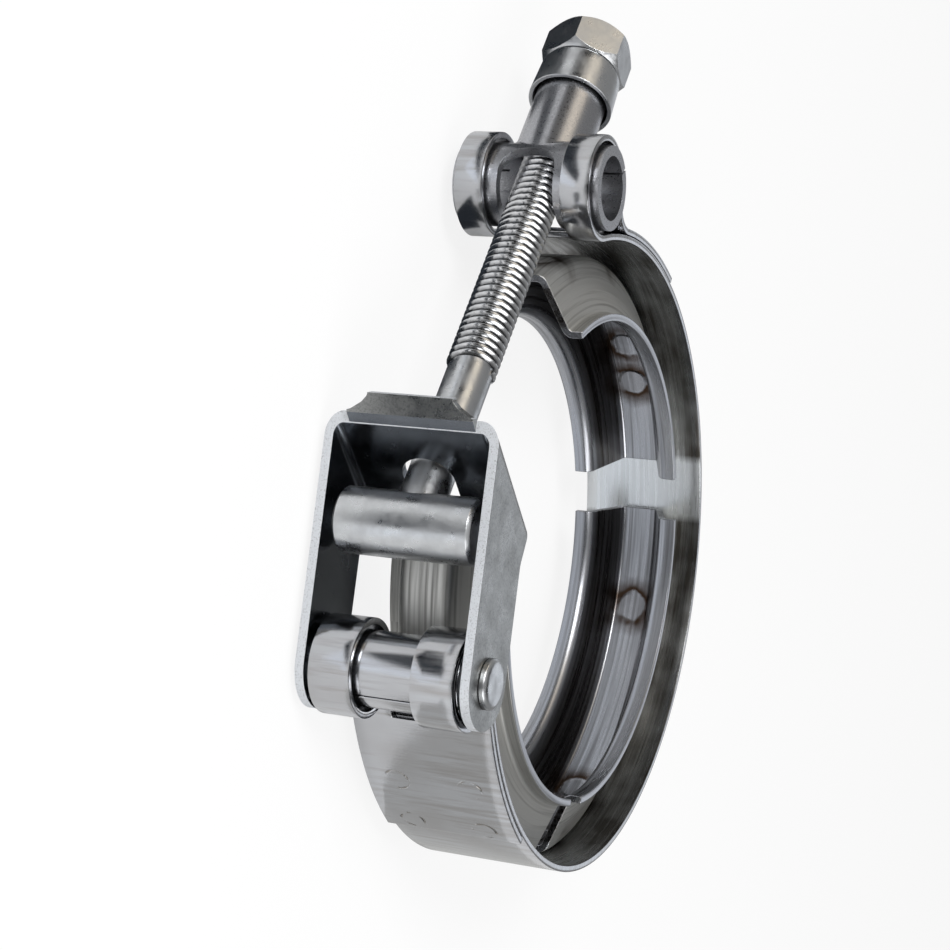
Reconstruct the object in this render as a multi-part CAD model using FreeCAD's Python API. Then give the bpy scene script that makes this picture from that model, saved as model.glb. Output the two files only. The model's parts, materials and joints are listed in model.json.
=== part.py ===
"""Quick release V band clamp for a 3 inch exhaust joint.

Frame, in millimetres: the origin is the centre of the ring at the middle of its width, +Z is the
axis of the ring, +X goes from the centre through the gap between the upper and lower retainers,
and +Y goes towards the trunnion. The clamp lies on its side, so both hinges stand upright.
"""
import FreeCAD, Part
import math
import os

V = FreeCAD.Vector
ORIGIN = V(0, 0, 0)
UP = V(0, 0, 1)
CUT_OVER = 1.0
MATCH = 0.01

# Band: one strip of sheet, folded back on itself at both ends into a pair of loops
BAND_THICK = 1.0
BAND_WIDTH = 22.4
BAND_OUTER_R = 51.0
LAYER_GAP = 0.15
WELD_R = 2.0
WELD_OFFSET_Z = 6.0

# Lower loops, which carry the latch
LATCH_ANGLE = 181.3
LATCH_LOOP_R = 7.3
LATCH_LOOP_SLOT = 9.3
LATCH_SLOT_INSET = 2.5
LATCH_SLOT_DROP = 9.5
LATCH_TUCK = 0.085
LATCH_EASE_R = 25.0
LATCH_BEND_R = 2.5
LATCH_TAIL_END = 220.0
LATCH_WELD_ANGLES = (205.8, 217.0)

# Upper loops, which carry the trunnion
TRUNNION_ANGLE = 91.714
TRUNNION_LIFT = 3.178
TRUNNION_LOOP_R = 8.35
TRUNNION_LOOP_SLOT = 13.0
TRUNNION_SLOT_INSET = 3.4
TRUNNION_SLOT_REACH = 13.0
TRUNNION_SLOT_DROP = 11.35
TRUNNION_EASE_START = 20.0
TRUNNION_BEND_R = 5.0
TRUNNION_TAIL_END = 50.0
TRUNNION_WELD_ANGLES = (55.0, 66.0)

# Retainers: three rolled V sections inside the band
RETAINER_THICK = 1.2
RETAINER_LIP_DEPTH = 11.6
RETAINER_HALF_WIDTH = 9.6
RETAINER_LIP_WIDTH = 2.9
RETAINER_FLOOR_WIDTH = 6.2
RETAINER_CORNER_R = 0.7
RETAINER_SEAT = 0.2
RETAINER_WELD_GAP = 0.02
RETAINER_BOLT_GAP = 0.3
UPPER_RETAINER_START = 5.6
UPPER_RETAINER_WELDS = (18.0, 33.0, 48.0)
LOWER_RETAINER_ARC = (-104.0, -5.4)
LOWER_RETAINER_WELDS = (-20.0, -36.0, -72.0, -88.0)
FRONT_RETAINER_ARC = (161.0, 249.0)
FRONT_RETAINER_WELDS = (205.0, 222.0, 238.0)

# Latch bush and pin
BUSH_R = 5.6
BUSH_BORE_R = 4.33
BUSH_SEAM = 0.25
BUSH_SEAM_ANGLE = 205.0
PIN_SHANK_R = 4.25
PIN_SPIGOT_R = 2.7
PIN_HEAD_R = 3.7
PIN_HEAD_THICK = 1.2
PIN_HEAD_EDGE = 0.5
PIN_HEAD_DOME = 1.2
PIN_CLEARANCE = 0.05

# Lever: a folded sheet with two side plates, a slotted web and a thumb tab
LEVER_THICK = 1.4
LEVER_SIDE_GAP = 0.9
LEVER_WEB_ANGLE = 122.28
LEVER_WEB_GAP = 3.04
LEVER_WEB_BACK_REACH = 7.32
LEVER_WEB_FRONT_REACH = 12.91
LEVER_KNEE_REACH = 7.03
LEVER_KNEE_ANGLE = 230.2
LEVER_KNEE_R = 3.0
LEVER_FOOT_R = 6.8
LEVER_FOLD_R = 2.9
LEVER_SLOT_WIDTH = 8.2
LEVER_SLOT_PLAY = 0.2
TAB_LENGTH = 3.0
TAB_LEAN = 84.0
TAB_ROOT = 2.5
TAB_TOP_HALF = 6.6
TAB_TOP_R = 0.8
TAB_NECK_HALF = 7.5
TAB_NECK_DROP = 1.4
TAB_FOOT_HALF = 9.8
TAB_FOOT_RISE = 0.4
TAB_WAIST_R = 1.5

# Bolt and the barrel across its lower end
BARREL_ANGLE = 159.93
BARREL_R = 4.9
BARREL_RING_GAP = 0.462
BARREL_HALF_LENGTH = 10.7
BARREL_CHAMFER = 0.5
BARREL_SINK_R = 4.6
BARREL_SINK_DEPTH = 2.2
BOLT_SHANK_R = 3.5
BOLT_FOOT_WALL = 1.8
BOLT_SHANK_CHAMFER = 0.5
BOLT_THREAD_R = 3.95
BOLT_THREAD_START = 28.0
BOLT_THREAD_RUNOUT = 0.6
BOLT_TOP = 31.3
BOLT_TOP_CHAMFER = 0.8
BOLT_FIT = 0.05

# Trunnion: a drawn tee with a stem that guides the bolt
ARM_R = 6.65
ARM_BORE_R = 5.05
ARM_HALF_LENGTH = 12.2
STEM_R = 5.8
STEM_BORE_R = 4.4
STEM_TOP = 24.3
STEM_ROOT_R = 1.2
ARCH_R = 4.7
ARCH_CENTRE = -2.4
ARM_SEAM = 0.35
ARM_SEAM_ANGLE = 20.0

# Cup washer and nut on top of the stem
CUP_RIM_R = 7.0
CUP_TOP_R = 6.7
CUP_WALL = 0.7
CUP_LENGTH = 7.2
CUP_EDGE_R = 0.8
CUP_BORE_PLAY = 0.3
SEAT_GAP = 0.05
NUT_SIDES = 6
NUT_ACROSS_FLATS = 13.0
NUT_FACE_INSET = 0.2
NUT_HEIGHT = 6.8
NUT_BORE_R = 4.02
NUT_CHAMFER_SLOPE = 45.0
NUT_TURN = -26.5


def polar(centre, radius, angle):
    """Point at an angle in degrees on a circle in the plane of the ring."""
    turn = math.radians(angle)
    return centre + V(radius * math.cos(turn), radius * math.sin(turn), 0)


def angle_of(start, end):
    """Direction in degrees from one point to another."""
    return math.degrees(math.atan2(end.y - start.y, end.x - start.x))


def circles_meet(first, first_r, second, second_r, side):
    """Crossing of two circles, left (+1) or right (-1) of the line between their centres."""
    across = second - first
    span = across.Length
    along = (first_r ** 2 - second_r ** 2 + span ** 2) / (2 * span)
    height = math.sqrt(first_r ** 2 - along ** 2)
    unit = across / span
    return first + unit * along + V(-unit.y, unit.x, 0) * (height * side)


def tangent_point(outside, centre, radius, side):
    """Where a line from a point outside a circle touches it, on its left (+1) or right (-1)."""
    reach = math.degrees(math.acos(radius / (outside - centre).Length))
    return polar(centre, radius, angle_of(centre, outside) + side * reach)


def arc_edge(centre, radius, start, end):
    """Circular edge between two angles."""
    middle = polar(centre, radius, (start + end) / 2)
    return Part.Arc(polar(centre, radius, start), middle, polar(centre, radius, end)).toShape()


def bent_strip(arcs, thickness, width):
    """Sheet strip standing on edge along tangent arcs of (centre, radius, start, end)."""
    left = []
    right = []
    for centre, radius, start, end in arcs:
        side = 1 if end > start else -1
        left.append(arc_edge(centre, radius - side * thickness / 2, start, end))
        right.append(arc_edge(centre, radius + side * thickness / 2, start, end))
    ends = []
    first, last = arcs[0], arcs[-1]
    for centre, radius, angle in ((first[0], first[1], first[2]), (last[0], last[1], last[3])):
        inner = polar(centre, radius - thickness / 2, angle)
        outer = polar(centre, radius + thickness / 2, angle)
        ends.append(Part.LineSegment(inner, outer).toShape())
    outline = Part.Wire(Part.__sortEdges__(left + right + ends))
    strip = Part.Face(outline).extrude(UP * width)
    strip.translate(UP * (-width / 2))
    return strip


def rounded_outline(corners, flat=False):
    """Closed outline in the XY plane through (point, radius) corners, which flat cuts straight."""
    count = len(corners)
    edges = []
    starts = []
    ends = []
    for index, (corner, radius) in enumerate(corners):
        before = (corners[index - 1][0] - corner).normalize()
        after = (corners[(index + 1) % count][0] - corner).normalize()
        if radius <= 0:
            starts.append(corner)
            ends.append(corner)
            continue
        half = before.getAngle(after) / 2
        reach = radius / math.tan(half)
        bisector = (before + after).normalize()
        middle = corner + bisector * (radius / math.sin(half) - radius)
        starts.append(corner + before * reach)
        ends.append(corner + after * reach)
        curve = Part.LineSegment(starts[-1], ends[-1]) if flat else Part.Arc(starts[-1], middle, ends[-1])
        edges.append(curve.toShape())
    for index in range(count):
        edges.append(Part.LineSegment(ends[index - 1], starts[index]).toShape())
    return Part.Wire(Part.__sortEdges__(edges))


def offset_points(points, distance):
    """Open line of points moved sideways to its left, with mitred corners."""
    normals = []
    for start, end in zip(points, points[1:]):
        along = (end - start).normalize()
        normals.append(V(-along.y, along.x, 0))
    moved = [points[0] + normals[0] * distance]
    for index in range(1, len(points) - 1):
        mitre = normals[index - 1] + normals[index]
        moved.append(points[index] + mitre * (2 * distance / mitre.Length ** 2))
    moved.append(points[-1] + normals[-1] * distance)
    return moved


def standing_cylinder(centre, radius, half_length):
    """Cylinder along Z, centred on the middle plane."""
    return Part.makeCylinder(radius, 2 * half_length, centre - UP * half_length, UP)


def block(x_range, y_range, half_width):
    """Box between two X and two Y limits, centred on the middle plane."""
    corner = V(x_range[0], y_range[0], -half_width)
    return Part.makeBox(x_range[1] - x_range[0], y_range[1] - y_range[0], 2 * half_width, corner)


# Places that follow from the sizes above
BAND_MID_R = BAND_OUTER_R - BAND_THICK / 2
BAND_INNER_R = BAND_OUTER_R - BAND_THICK
TAIL_STEP = BAND_THICK + LAYER_GAP
LATCH_MID_R = LATCH_LOOP_R - BAND_THICK / 2
TRUNNION_MID_R = TRUNNION_LOOP_R - BAND_THICK / 2
LATCH_PIVOT = polar(ORIGIN, BAND_MID_R + LATCH_MID_R - LATCH_TUCK, LATCH_ANGLE)
TRUNNION_PIVOT = polar(ORIGIN, BAND_MID_R + TRUNNION_MID_R + TRUNNION_LIFT, TRUNNION_ANGLE)
BARREL_CENTRE = polar(ORIGIN, BAND_INNER_R + BARREL_RING_GAP + BARREL_R, BARREL_ANGLE)
BOLT_WAY = (TRUNNION_PIVOT - BARREL_CENTRE).normalize()
BOLT_SPAN = (TRUNNION_PIVOT - BARREL_CENTRE).Length
BOLT_SIDE = V(-BOLT_WAY.y, BOLT_WAY.x, 0)
RETAINER_BACK_R = BAND_INNER_R - RETAINER_SEAT
BOLT_LINE_ROOM = BARREL_CENTRE.dot(BOLT_SIDE) - BOLT_THREAD_R - RETAINER_BOLT_GAP
BOLT_SIDE_ANGLE = angle_of(ORIGIN, BOLT_SIDE)
UPPER_RETAINER_END = BOLT_SIDE_ANGLE - math.degrees(math.acos(BOLT_LINE_ROOM / RETAINER_BACK_R))
LEVER_HALF_WIDTH = BAND_WIDTH / 2 + LEVER_SIDE_GAP + LEVER_THICK
WEB_WAY = polar(ORIGIN, 1, LEVER_WEB_ANGLE)
WEB_OUT = V(WEB_WAY.y, -WEB_WAY.x, 0)
WEB_FOOT = BARREL_CENTRE + WEB_OUT * (BARREL_R + LEVER_WEB_GAP + LEVER_THICK)
LEVER_WEB_BACK = WEB_FOOT - WEB_WAY * LEVER_WEB_BACK_REACH
LEVER_WEB_FRONT = WEB_FOOT + WEB_WAY * LEVER_WEB_FRONT_REACH
LEVER_BACK_KNEE = polar(LEVER_WEB_BACK, LEVER_KNEE_REACH, LEVER_KNEE_ANGLE)


def along_bolt(shape, start):
    """Shape made along +Z, laid along the bolt from a start point. Its own X becomes world Z."""
    side = V(BOLT_WAY.y, -BOLT_WAY.x, 0)
    turned = shape.copy()
    turned.Placement = FreeCAD.Placement(start, FreeCAD.Rotation(UP, side, BOLT_WAY, "ZXY"))
    return turned


def turned_piece(profile):
    """Solid of revolution about +Z from (radius, height) points."""
    points = [V(radius, 0, height) for radius, height in profile]
    face = Part.Face(Part.makePolygon(points + points[:1]))
    return face.revolve(ORIGIN, UP, 360)


def latch_end_arcs():
    """Tail, reverse bend, loop and ease at the latch end, from the tail's end to the ring."""
    loop_r = LATCH_MID_R
    tail_r = BAND_MID_R + TAIL_STEP
    pivot = LATCH_PIVOT
    bend = circles_meet(ORIGIN, tail_r + LATCH_BEND_R, pivot, loop_r + LATCH_BEND_R, 1)
    ease = circles_meet(ORIGIN, BAND_MID_R - LATCH_EASE_R, pivot, loop_r + LATCH_EASE_R, 1)
    bend_start = angle_of(ORIGIN, bend) % 360
    ring_start = angle_of(ORIGIN, ease) % 360
    loop_start = angle_of(pivot, bend) % 360
    loop_end = angle_of(pivot, ease) % 360 - 360
    bend_end = angle_of(bend, pivot) % 360
    return [
        (ORIGIN, tail_r, LATCH_TAIL_END, bend_start),
        (bend, LATCH_BEND_R, bend_start - 180, bend_end),
        (pivot, loop_r, loop_start, loop_end),
        (ease, LATCH_EASE_R, angle_of(ease, pivot) % 360, ring_start),
    ], ring_start


def trunnion_end_arcs():
    """Ease, loop, reverse bend and tail at the trunnion end, from the ring to the tail's end."""
    loop_r = TRUNNION_MID_R
    pivot = TRUNNION_PIVOT
    away = polar(ORIGIN, 1, TRUNNION_EASE_START)
    reach = pivot.Length ** 2 - (BAND_MID_R + loop_r) ** 2
    extra = reach / (2 * (BAND_MID_R + loop_r - pivot.dot(away)))
    ease = away * (-extra)
    ease_r = BAND_MID_R + extra
    tail_r = ease_r + TAIL_STEP
    bend = circles_meet(ease, tail_r + TRUNNION_BEND_R, pivot, loop_r + TRUNNION_BEND_R, -1)
    loop_start = angle_of(pivot, ease) % 360
    loop_end = angle_of(pivot, bend)
    tail_start = angle_of(ease, bend)
    arcs = [
        (ease, ease_r, TRUNNION_EASE_START, angle_of(ease, pivot)),
        (pivot, loop_r, loop_start, loop_end),
        (bend, TRUNNION_BEND_R, loop_end + 180, tail_start + 180),
        (ease, tail_r, tail_start, TRUNNION_TAIL_END),
    ]
    return arcs, ease, ease_r


def weld_nugget(centre, radius, angle, height):
    """Round spot weld that joins the tail to the layer under it."""
    start = polar(centre, radius - BAND_THICK / 2, angle) + UP * height
    return Part.makeCylinder(WELD_R, BAND_THICK + LAYER_GAP, start, polar(ORIGIN, 1, angle))


def make_band():
    """Band with both pairs of loops, their slots and the welded tails."""
    latch_arcs, ring_start = latch_end_arcs()
    trunnion_arcs, ease, ease_r = trunnion_end_arcs()
    ring = (ORIGIN, BAND_MID_R, ring_start, 360 + TRUNNION_EASE_START)
    band = bent_strip(latch_arcs + [ring] + trunnion_arcs, BAND_THICK, BAND_WIDTH)

    reach = TRUNNION_LOOP_R + CUT_OVER
    pivot = TRUNNION_PIVOT
    half = TRUNNION_LOOP_SLOT / 2
    left, right = pivot.x - reach, pivot.x + TRUNNION_SLOT_INSET
    inner_slot = block((left, right), (pivot.y - reach, pivot.y + reach), half)
    left, right = pivot.x, pivot.x + TRUNNION_SLOT_REACH
    outer_slot = block((left, right), (pivot.y - TRUNNION_SLOT_DROP, pivot.y + reach), half)
    kept = standing_cylinder(ease, ease_r + TAIL_STEP / 2, half + CUT_OVER)
    band = band.cut(inner_slot.fuse(outer_slot.cut(kept)))

    reach = LATCH_LOOP_R + CUT_OVER
    pivot = LATCH_PIVOT
    half = LATCH_LOOP_SLOT / 2
    left, right = pivot.x - reach, pivot.x + reach
    inner_slot = block((left, right), (pivot.y - LATCH_SLOT_INSET, pivot.y + reach), half)
    outer_slot = block((left, right), (pivot.y - LATCH_SLOT_DROP, pivot.y), half)
    kept = standing_cylinder(ORIGIN, BAND_MID_R + TAIL_STEP / 2, half + CUT_OVER)
    band = band.cut(inner_slot.fuse(outer_slot.cut(kept)))

    for height in (-WELD_OFFSET_Z, WELD_OFFSET_Z):
        for angle in LATCH_WELD_ANGLES:
            band = band.fuse(weld_nugget(ORIGIN, BAND_MID_R, angle, height))
        for angle in TRUNNION_WELD_ANGLES:
            band = band.fuse(weld_nugget(ease, ease_r, angle, height))
    return band


def retainer_section():
    """V section of a retainer, as a face in the XZ plane with X as the radius."""
    lip_r = BAND_OUTER_R - RETAINER_LIP_DEPTH
    wall_z = RETAINER_HALF_WIDTH - RETAINER_LIP_WIDTH
    upper = [
        V(lip_r, RETAINER_HALF_WIDTH, 0),
        V(lip_r, wall_z, 0),
        V(RETAINER_BACK_R - RETAINER_THICK, RETAINER_FLOOR_WIDTH / 2, 0),
    ]
    inside = upper + [V(point.x, -point.y, 0) for point in reversed(upper)]
    outside = offset_points(inside, RETAINER_THICK)
    tight = RETAINER_CORNER_R
    wide = RETAINER_CORNER_R + RETAINER_THICK
    inner_radii = (0, wide, tight, tight, wide, 0)
    outer_radii = (0, tight, wide, wide, tight, 0)
    corners = list(zip(inside, inner_radii)) + list(zip(reversed(outside), reversed(outer_radii)))
    face = Part.Face(rounded_outline(corners, flat=True))
    face.rotate(ORIGIN, V(1, 0, 0), 90)
    return face


def make_retainer(start, end, weld_angles):
    """One rolled retainer between two angles, with its spot welds to the band."""
    section = retainer_section()
    section.rotate(ORIGIN, UP, start)
    retainer = section.revolve(ORIGIN, UP, end - start)
    inside_band = standing_cylinder(ORIGIN, BAND_INNER_R - RETAINER_WELD_GAP, RETAINER_HALF_WIDTH)
    for angle in weld_angles:
        foot = polar(ORIGIN, RETAINER_BACK_R - RETAINER_THICK / 2, angle)
        nugget = Part.makeCylinder(WELD_R, RETAINER_THICK, foot, polar(ORIGIN, 1, angle))
        retainer = retainer.fuse(nugget.common(inside_band))
    return retainer.removeSplitter()


def make_bush():
    """Rolled sleeve round the latch pin, with its open seam."""
    half_length = BAND_WIDTH / 2
    bush = standing_cylinder(LATCH_PIVOT, BUSH_R, half_length)
    over_half = half_length + CUT_OVER
    bush = bush.cut(standing_cylinder(LATCH_PIVOT, BUSH_BORE_R, over_half))
    seam = Part.makeBox(BUSH_R + CUT_OVER, BUSH_SEAM, 2 * over_half, V(0, -BUSH_SEAM / 2, -over_half))
    seam.rotate(ORIGIN, UP, BUSH_SEAM_ANGLE)
    seam.translate(LATCH_PIVOT)
    return bush.cut(seam)


def make_pin():
    """Shouldered rivet through the lever, with a domed head at each end."""
    shoulder = LEVER_HALF_WIDTH - LEVER_THICK - PIN_CLEARANCE
    face_z = LEVER_HALF_WIDTH + PIN_CLEARANCE
    top_z = face_z + PIN_HEAD_THICK
    upper = [
        (PIN_SHANK_R, shoulder),
        (PIN_SPIGOT_R, shoulder),
        (PIN_SPIGOT_R, face_z),
        (PIN_HEAD_R, face_z),
        (PIN_HEAD_R, top_z - PIN_HEAD_EDGE),
        (PIN_HEAD_R - PIN_HEAD_DOME / 3, top_z - PIN_HEAD_EDGE / 4),
        (PIN_HEAD_R - PIN_HEAD_DOME, top_z),
        (0, top_z),
    ]
    lower = [(radius, -height) for radius, height in reversed(upper)]
    pin = turned_piece(lower + upper)
    pin.translate(LATCH_PIVOT)
    return pin


def lever_tab():
    """Thumb tab that continues the web past its front fold."""
    rise = polar(ORIGIN, 1, TAB_LEAN)
    inward = V(-rise.y, rise.x, 0)
    tip = LEVER_WEB_FRONT + rise * TAB_LENGTH
    root = LEVER_WEB_FRONT - WEB_WAY * TAB_ROOT - WEB_OUT * LEVER_THICK
    knee = LEVER_WEB_FRONT + inward * LEVER_THICK
    side = [LEVER_WEB_FRONT, tip, tip + inward * LEVER_THICK, knee, root, LEVER_WEB_FRONT]
    tab = Part.Face(Part.makePolygon(side)).extrude(UP * (2 * TAB_FOOT_HALF))
    tab.translate(UP * -TAB_FOOT_HALF)
    past_tip = TAB_LENGTH + CUT_OVER
    past_foot = TAB_FOOT_HALF + 2 * CUT_OVER
    for flip in (-1, 1):
        corners = [
            (V(flip * TAB_TOP_HALF, past_tip, 0), 0),
            (V(flip * TAB_TOP_HALF, TAB_LENGTH - TAB_TOP_R / 2, 0), TAB_TOP_R),
            (V(flip * TAB_NECK_HALF, TAB_LENGTH - TAB_NECK_DROP, 0), TAB_WAIST_R),
            (V(flip * (TAB_FOOT_HALF - TAB_FOOT_RISE), TAB_FOOT_RISE, 0), TAB_WAIST_R),
            (V(flip * past_foot, TAB_FOOT_RISE / 2, 0), 0),
            (V(flip * past_foot, past_tip, 0), 0),
        ]
        trim = Part.Face(rounded_outline(corners)).extrude(UP * (2 * TAB_FOOT_HALF))
        start = LEVER_WEB_FRONT - inward * TAB_FOOT_HALF
        trim.Placement = FreeCAD.Placement(start, FreeCAD.Rotation(UP, rise, inward, "ZXY"))
        tab = tab.cut(trim)
    return tab


def edges_on_line(shape, start, end, height):
    """Straight edges of a shape that lie on a line at a height."""
    found = []
    way = (end - start).normalize()
    for edge in shape.Edges:
        middle = edge.valueAt((edge.FirstParameter + edge.LastParameter) / 2)
        flat = V(middle.x, middle.y, 0) - start
        off = (flat - way * flat.dot(way)).Length
        if off < MATCH and abs(middle.z - height) < MATCH and edge.Length > 2 * LEVER_THICK:
            found.append(edge)
    return found


def make_lever():
    """Lever folded from one sheet, with the slot for the bolt open at the back of its web."""
    pivot = LATCH_PIVOT
    foot_front = tangent_point(LEVER_WEB_FRONT, pivot, LEVER_FOOT_R, 1)
    foot_back = tangent_point(LEVER_BACK_KNEE, pivot, LEVER_FOOT_R, -1)
    outline = [
        (LEVER_WEB_FRONT, 0),
        (LEVER_WEB_BACK, 0),
        (LEVER_BACK_KNEE, LEVER_KNEE_R),
        (foot_back, 0),
        (pivot, 0),
        (foot_front, 0),
    ]
    plate = Part.Face(rounded_outline(outline)).extrude(UP * (2 * LEVER_HALF_WIDTH))
    plate.translate(UP * -LEVER_HALF_WIDTH)
    plate = plate.fuse(standing_cylinder(pivot, LEVER_FOOT_R, LEVER_HALF_WIDTH))
    inner_half = LEVER_HALF_WIDTH - LEVER_THICK
    line_start = LEVER_WEB_BACK - WEB_OUT * LEVER_THICK - WEB_WAY * BOLT_SPAN
    line_end = LEVER_WEB_FRONT - WEB_OUT * LEVER_THICK + WEB_WAY * BOLT_SPAN
    deep = WEB_OUT * BOLT_SPAN
    hollow = Part.makePolygon([line_start, line_end, line_end - deep, line_start - deep, line_start])
    hollow = Part.Face(hollow).extrude(UP * (2 * inner_half))
    hollow.translate(UP * -inner_half)
    lever = plate.cut(hollow).removeSplitter()

    outer_fold = []
    for height in (-LEVER_HALF_WIDTH, LEVER_HALF_WIDTH):
        outer_fold += edges_on_line(lever, LEVER_WEB_BACK, LEVER_WEB_FRONT, height)
    lever = lever.makeFillet(LEVER_FOLD_R, outer_fold)
    inner_fold = []
    for height in (-inner_half, inner_half):
        inner_fold += edges_on_line(lever, line_start, line_end, height)
    lever = lever.makeFillet(LEVER_FOLD_R - LEVER_THICK, inner_fold)
    lever = lever.fuse(lever_tab())

    crossing = (LEVER_WEB_BACK - BARREL_CENTRE).dot(WEB_OUT) / BOLT_WAY.dot(WEB_OUT)
    slot_end = BARREL_CENTRE + BOLT_WAY * crossing + WEB_WAY * LEVER_SLOT_PLAY
    slot_start = slot_end - WEB_OUT * (LEVER_THICK + CUT_OVER)
    slot_r = LEVER_SLOT_WIDTH / 2
    slot_depth = LEVER_THICK + 2 * CUT_OVER
    slot = Part.makeCylinder(slot_r, slot_depth, slot_start, WEB_OUT)
    run_length = LEVER_WEB_BACK_REACH + LEVER_WEB_FRONT_REACH
    run = Part.makeBox(LEVER_SLOT_WIDTH, run_length, slot_depth, V(-slot_r, 0, 0))
    run.Placement = FreeCAD.Placement(slot_start, FreeCAD.Rotation(UP, WEB_WAY * -1, WEB_OUT, "ZXY"))
    lever = lever.cut(slot).cut(run)
    lever = lever.cut(standing_cylinder(pivot, PIN_SPIGOT_R + PIN_CLEARANCE, LEVER_HALF_WIDTH + CUT_OVER))
    return lever.removeSplitter()


def make_barrel():
    """Cross bar of the bolt, with a blind hole countersunk for its shank."""
    barrel = standing_cylinder(BARREL_CENTRE, BARREL_R, BARREL_HALF_LENGTH)
    rims = [edge for edge in barrel.Edges if edge.Closed]
    barrel = barrel.makeChamfer(BARREL_CHAMFER, rims)
    bore_r = BOLT_SHANK_R + BOLT_FIT
    floor = -BARREL_R + BOLT_FOOT_WALL - BOLT_FIT
    bore = Part.makeCylinder(bore_r, BARREL_R + CUT_OVER - floor, V(0, 0, floor))
    sink = Part.makeCone(bore_r, BARREL_SINK_R, BARREL_SINK_DEPTH, V(0, 0, BARREL_R - BARREL_SINK_DEPTH))
    return barrel.cut(along_bolt(bore.fuse(sink), BARREL_CENTRE))


def make_bolt():
    """Bolt from the floor of the barrel's hole to the top of the nut; its thread is a plain cylinder."""
    top = BOLT_SPAN + BOLT_TOP
    bottom = -BARREL_R + BOLT_FOOT_WALL
    profile = [
        (0, bottom),
        (BOLT_SHANK_R - BOLT_SHANK_CHAMFER, bottom),
        (BOLT_SHANK_R, bottom + BOLT_SHANK_CHAMFER),
        (BOLT_SHANK_R, BOLT_THREAD_START - BOLT_THREAD_RUNOUT),
        (BOLT_THREAD_R, BOLT_THREAD_START),
        (BOLT_THREAD_R, top - BOLT_TOP_CHAMFER),
        (BOLT_THREAD_R - BOLT_TOP_CHAMFER, top),
        (0, top),
    ]
    return along_bolt(turned_piece(profile), BARREL_CENTRE)


def make_trunnion():
    """Drawn tee: two arms that turn in the upper loops and a stem round the bolt."""
    arms = Part.makeCylinder(ARM_R, 2 * ARM_HALF_LENGTH, V(-ARM_HALF_LENGTH, 0, 0), V(1, 0, 0))
    stem = Part.makeCylinder(STEM_R, STEM_TOP)
    tee = arms.fuse(stem)
    roots = []
    for edge in tee.Edges:
        middle = edge.valueAt((edge.FirstParameter + edge.LastParameter) / 2)
        radius = math.hypot(middle.x, middle.y)
        if abs(radius - STEM_R) < 5 * MATCH and 0 < middle.z < ARM_R + 5 * MATCH and not edge.Closed:
            roots.append(edge)
    tee = tee.makeFillet(STEM_ROOT_R, roots)
    over_half = ARM_HALF_LENGTH + CUT_OVER
    tee = tee.cut(Part.makeCylinder(STEM_BORE_R, STEM_TOP + CUT_OVER))
    tee = tee.cut(Part.makeCylinder(ARM_BORE_R, 2 * over_half, V(-over_half, 0, 0), V(1, 0, 0)))
    arch_top = Part.makeCylinder(ARCH_R, 4 * ARM_R, V(0, -2 * ARM_R, ARCH_CENTRE), V(0, 1, 0))
    legs = Part.makeBox(2 * ARCH_R, 4 * ARM_R, 2 * ARM_R, V(-ARCH_R, -2 * ARM_R, ARCH_CENTRE - 2 * ARM_R))
    tee = tee.cut(arch_top.fuse(legs))
    tee = along_bolt(tee, TRUNNION_PIVOT)
    for flip in (-1, 1):
        length = ARM_HALF_LENGTH - STEM_R - STEM_ROOT_R + CUT_OVER
        seam = Part.makeBox(ARM_R + CUT_OVER, ARM_SEAM, length, V(0, -ARM_SEAM / 2, 0))
        seam.rotate(ORIGIN, UP, ARM_SEAM_ANGLE)
        start = STEM_R + STEM_ROOT_R if flip > 0 else -STEM_R - STEM_ROOT_R - length
        seam.translate(TRUNNION_PIVOT + UP * start)
        tee = tee.cut(seam)
    return tee


def make_cup():
    """Drawn cup that covers the end of the stem under the nut."""
    top = STEM_TOP + SEAT_GAP + CUP_WALL
    rim = top - CUP_LENGTH
    ceiling = top - CUP_WALL
    inner_r = CUP_TOP_R - CUP_WALL
    bore_r = NUT_BORE_R + CUP_BORE_PLAY
    inner_edge = CUP_EDGE_R / 4
    profile = [
        (bore_r, ceiling),
        (inner_r - inner_edge, ceiling),
        (inner_r, ceiling - inner_edge),
        (CUP_RIM_R - CUP_WALL, rim),
        (CUP_RIM_R, rim),
        (CUP_TOP_R, top - CUP_EDGE_R),
        (CUP_TOP_R - CUP_EDGE_R / 3, top - CUP_EDGE_R / 3),
        (CUP_TOP_R - CUP_EDGE_R, top),
        (bore_r, top),
    ]
    return along_bolt(turned_piece(profile), TRUNNION_PIVOT)


def make_nut():
    """Hexagon nut, chamfered on both faces."""
    corner_r = NUT_ACROSS_FLATS / 2 / math.cos(math.pi / NUT_SIDES)
    corners = [polar(ORIGIN, corner_r, NUT_TURN + index * 360 / NUT_SIDES) for index in range(NUT_SIDES + 1)]
    nut = Part.Face(Part.makePolygon(corners)).extrude(UP * NUT_HEIGHT)
    flat_r = NUT_ACROSS_FLATS / 2 - NUT_FACE_INSET
    over_r = corner_r + CUT_OVER
    drop = (over_r - flat_r) * math.tan(math.radians(NUT_CHAMFER_SLOPE))
    envelope = turned_piece([
        (0, 0),
        (flat_r, 0),
        (over_r, drop),
        (over_r, NUT_HEIGHT - drop),
        (flat_r, NUT_HEIGHT),
        (0, NUT_HEIGHT),
    ])
    nut = nut.common(envelope)
    nut = nut.cut(Part.makeCylinder(NUT_BORE_R, NUT_HEIGHT + 2 * CUT_OVER, V(0, 0, -CUT_OVER)))
    seat = STEM_TOP + 2 * SEAT_GAP + CUP_WALL
    return along_bolt(nut, TRUNNION_PIVOT + BOLT_WAY * seat)


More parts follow.
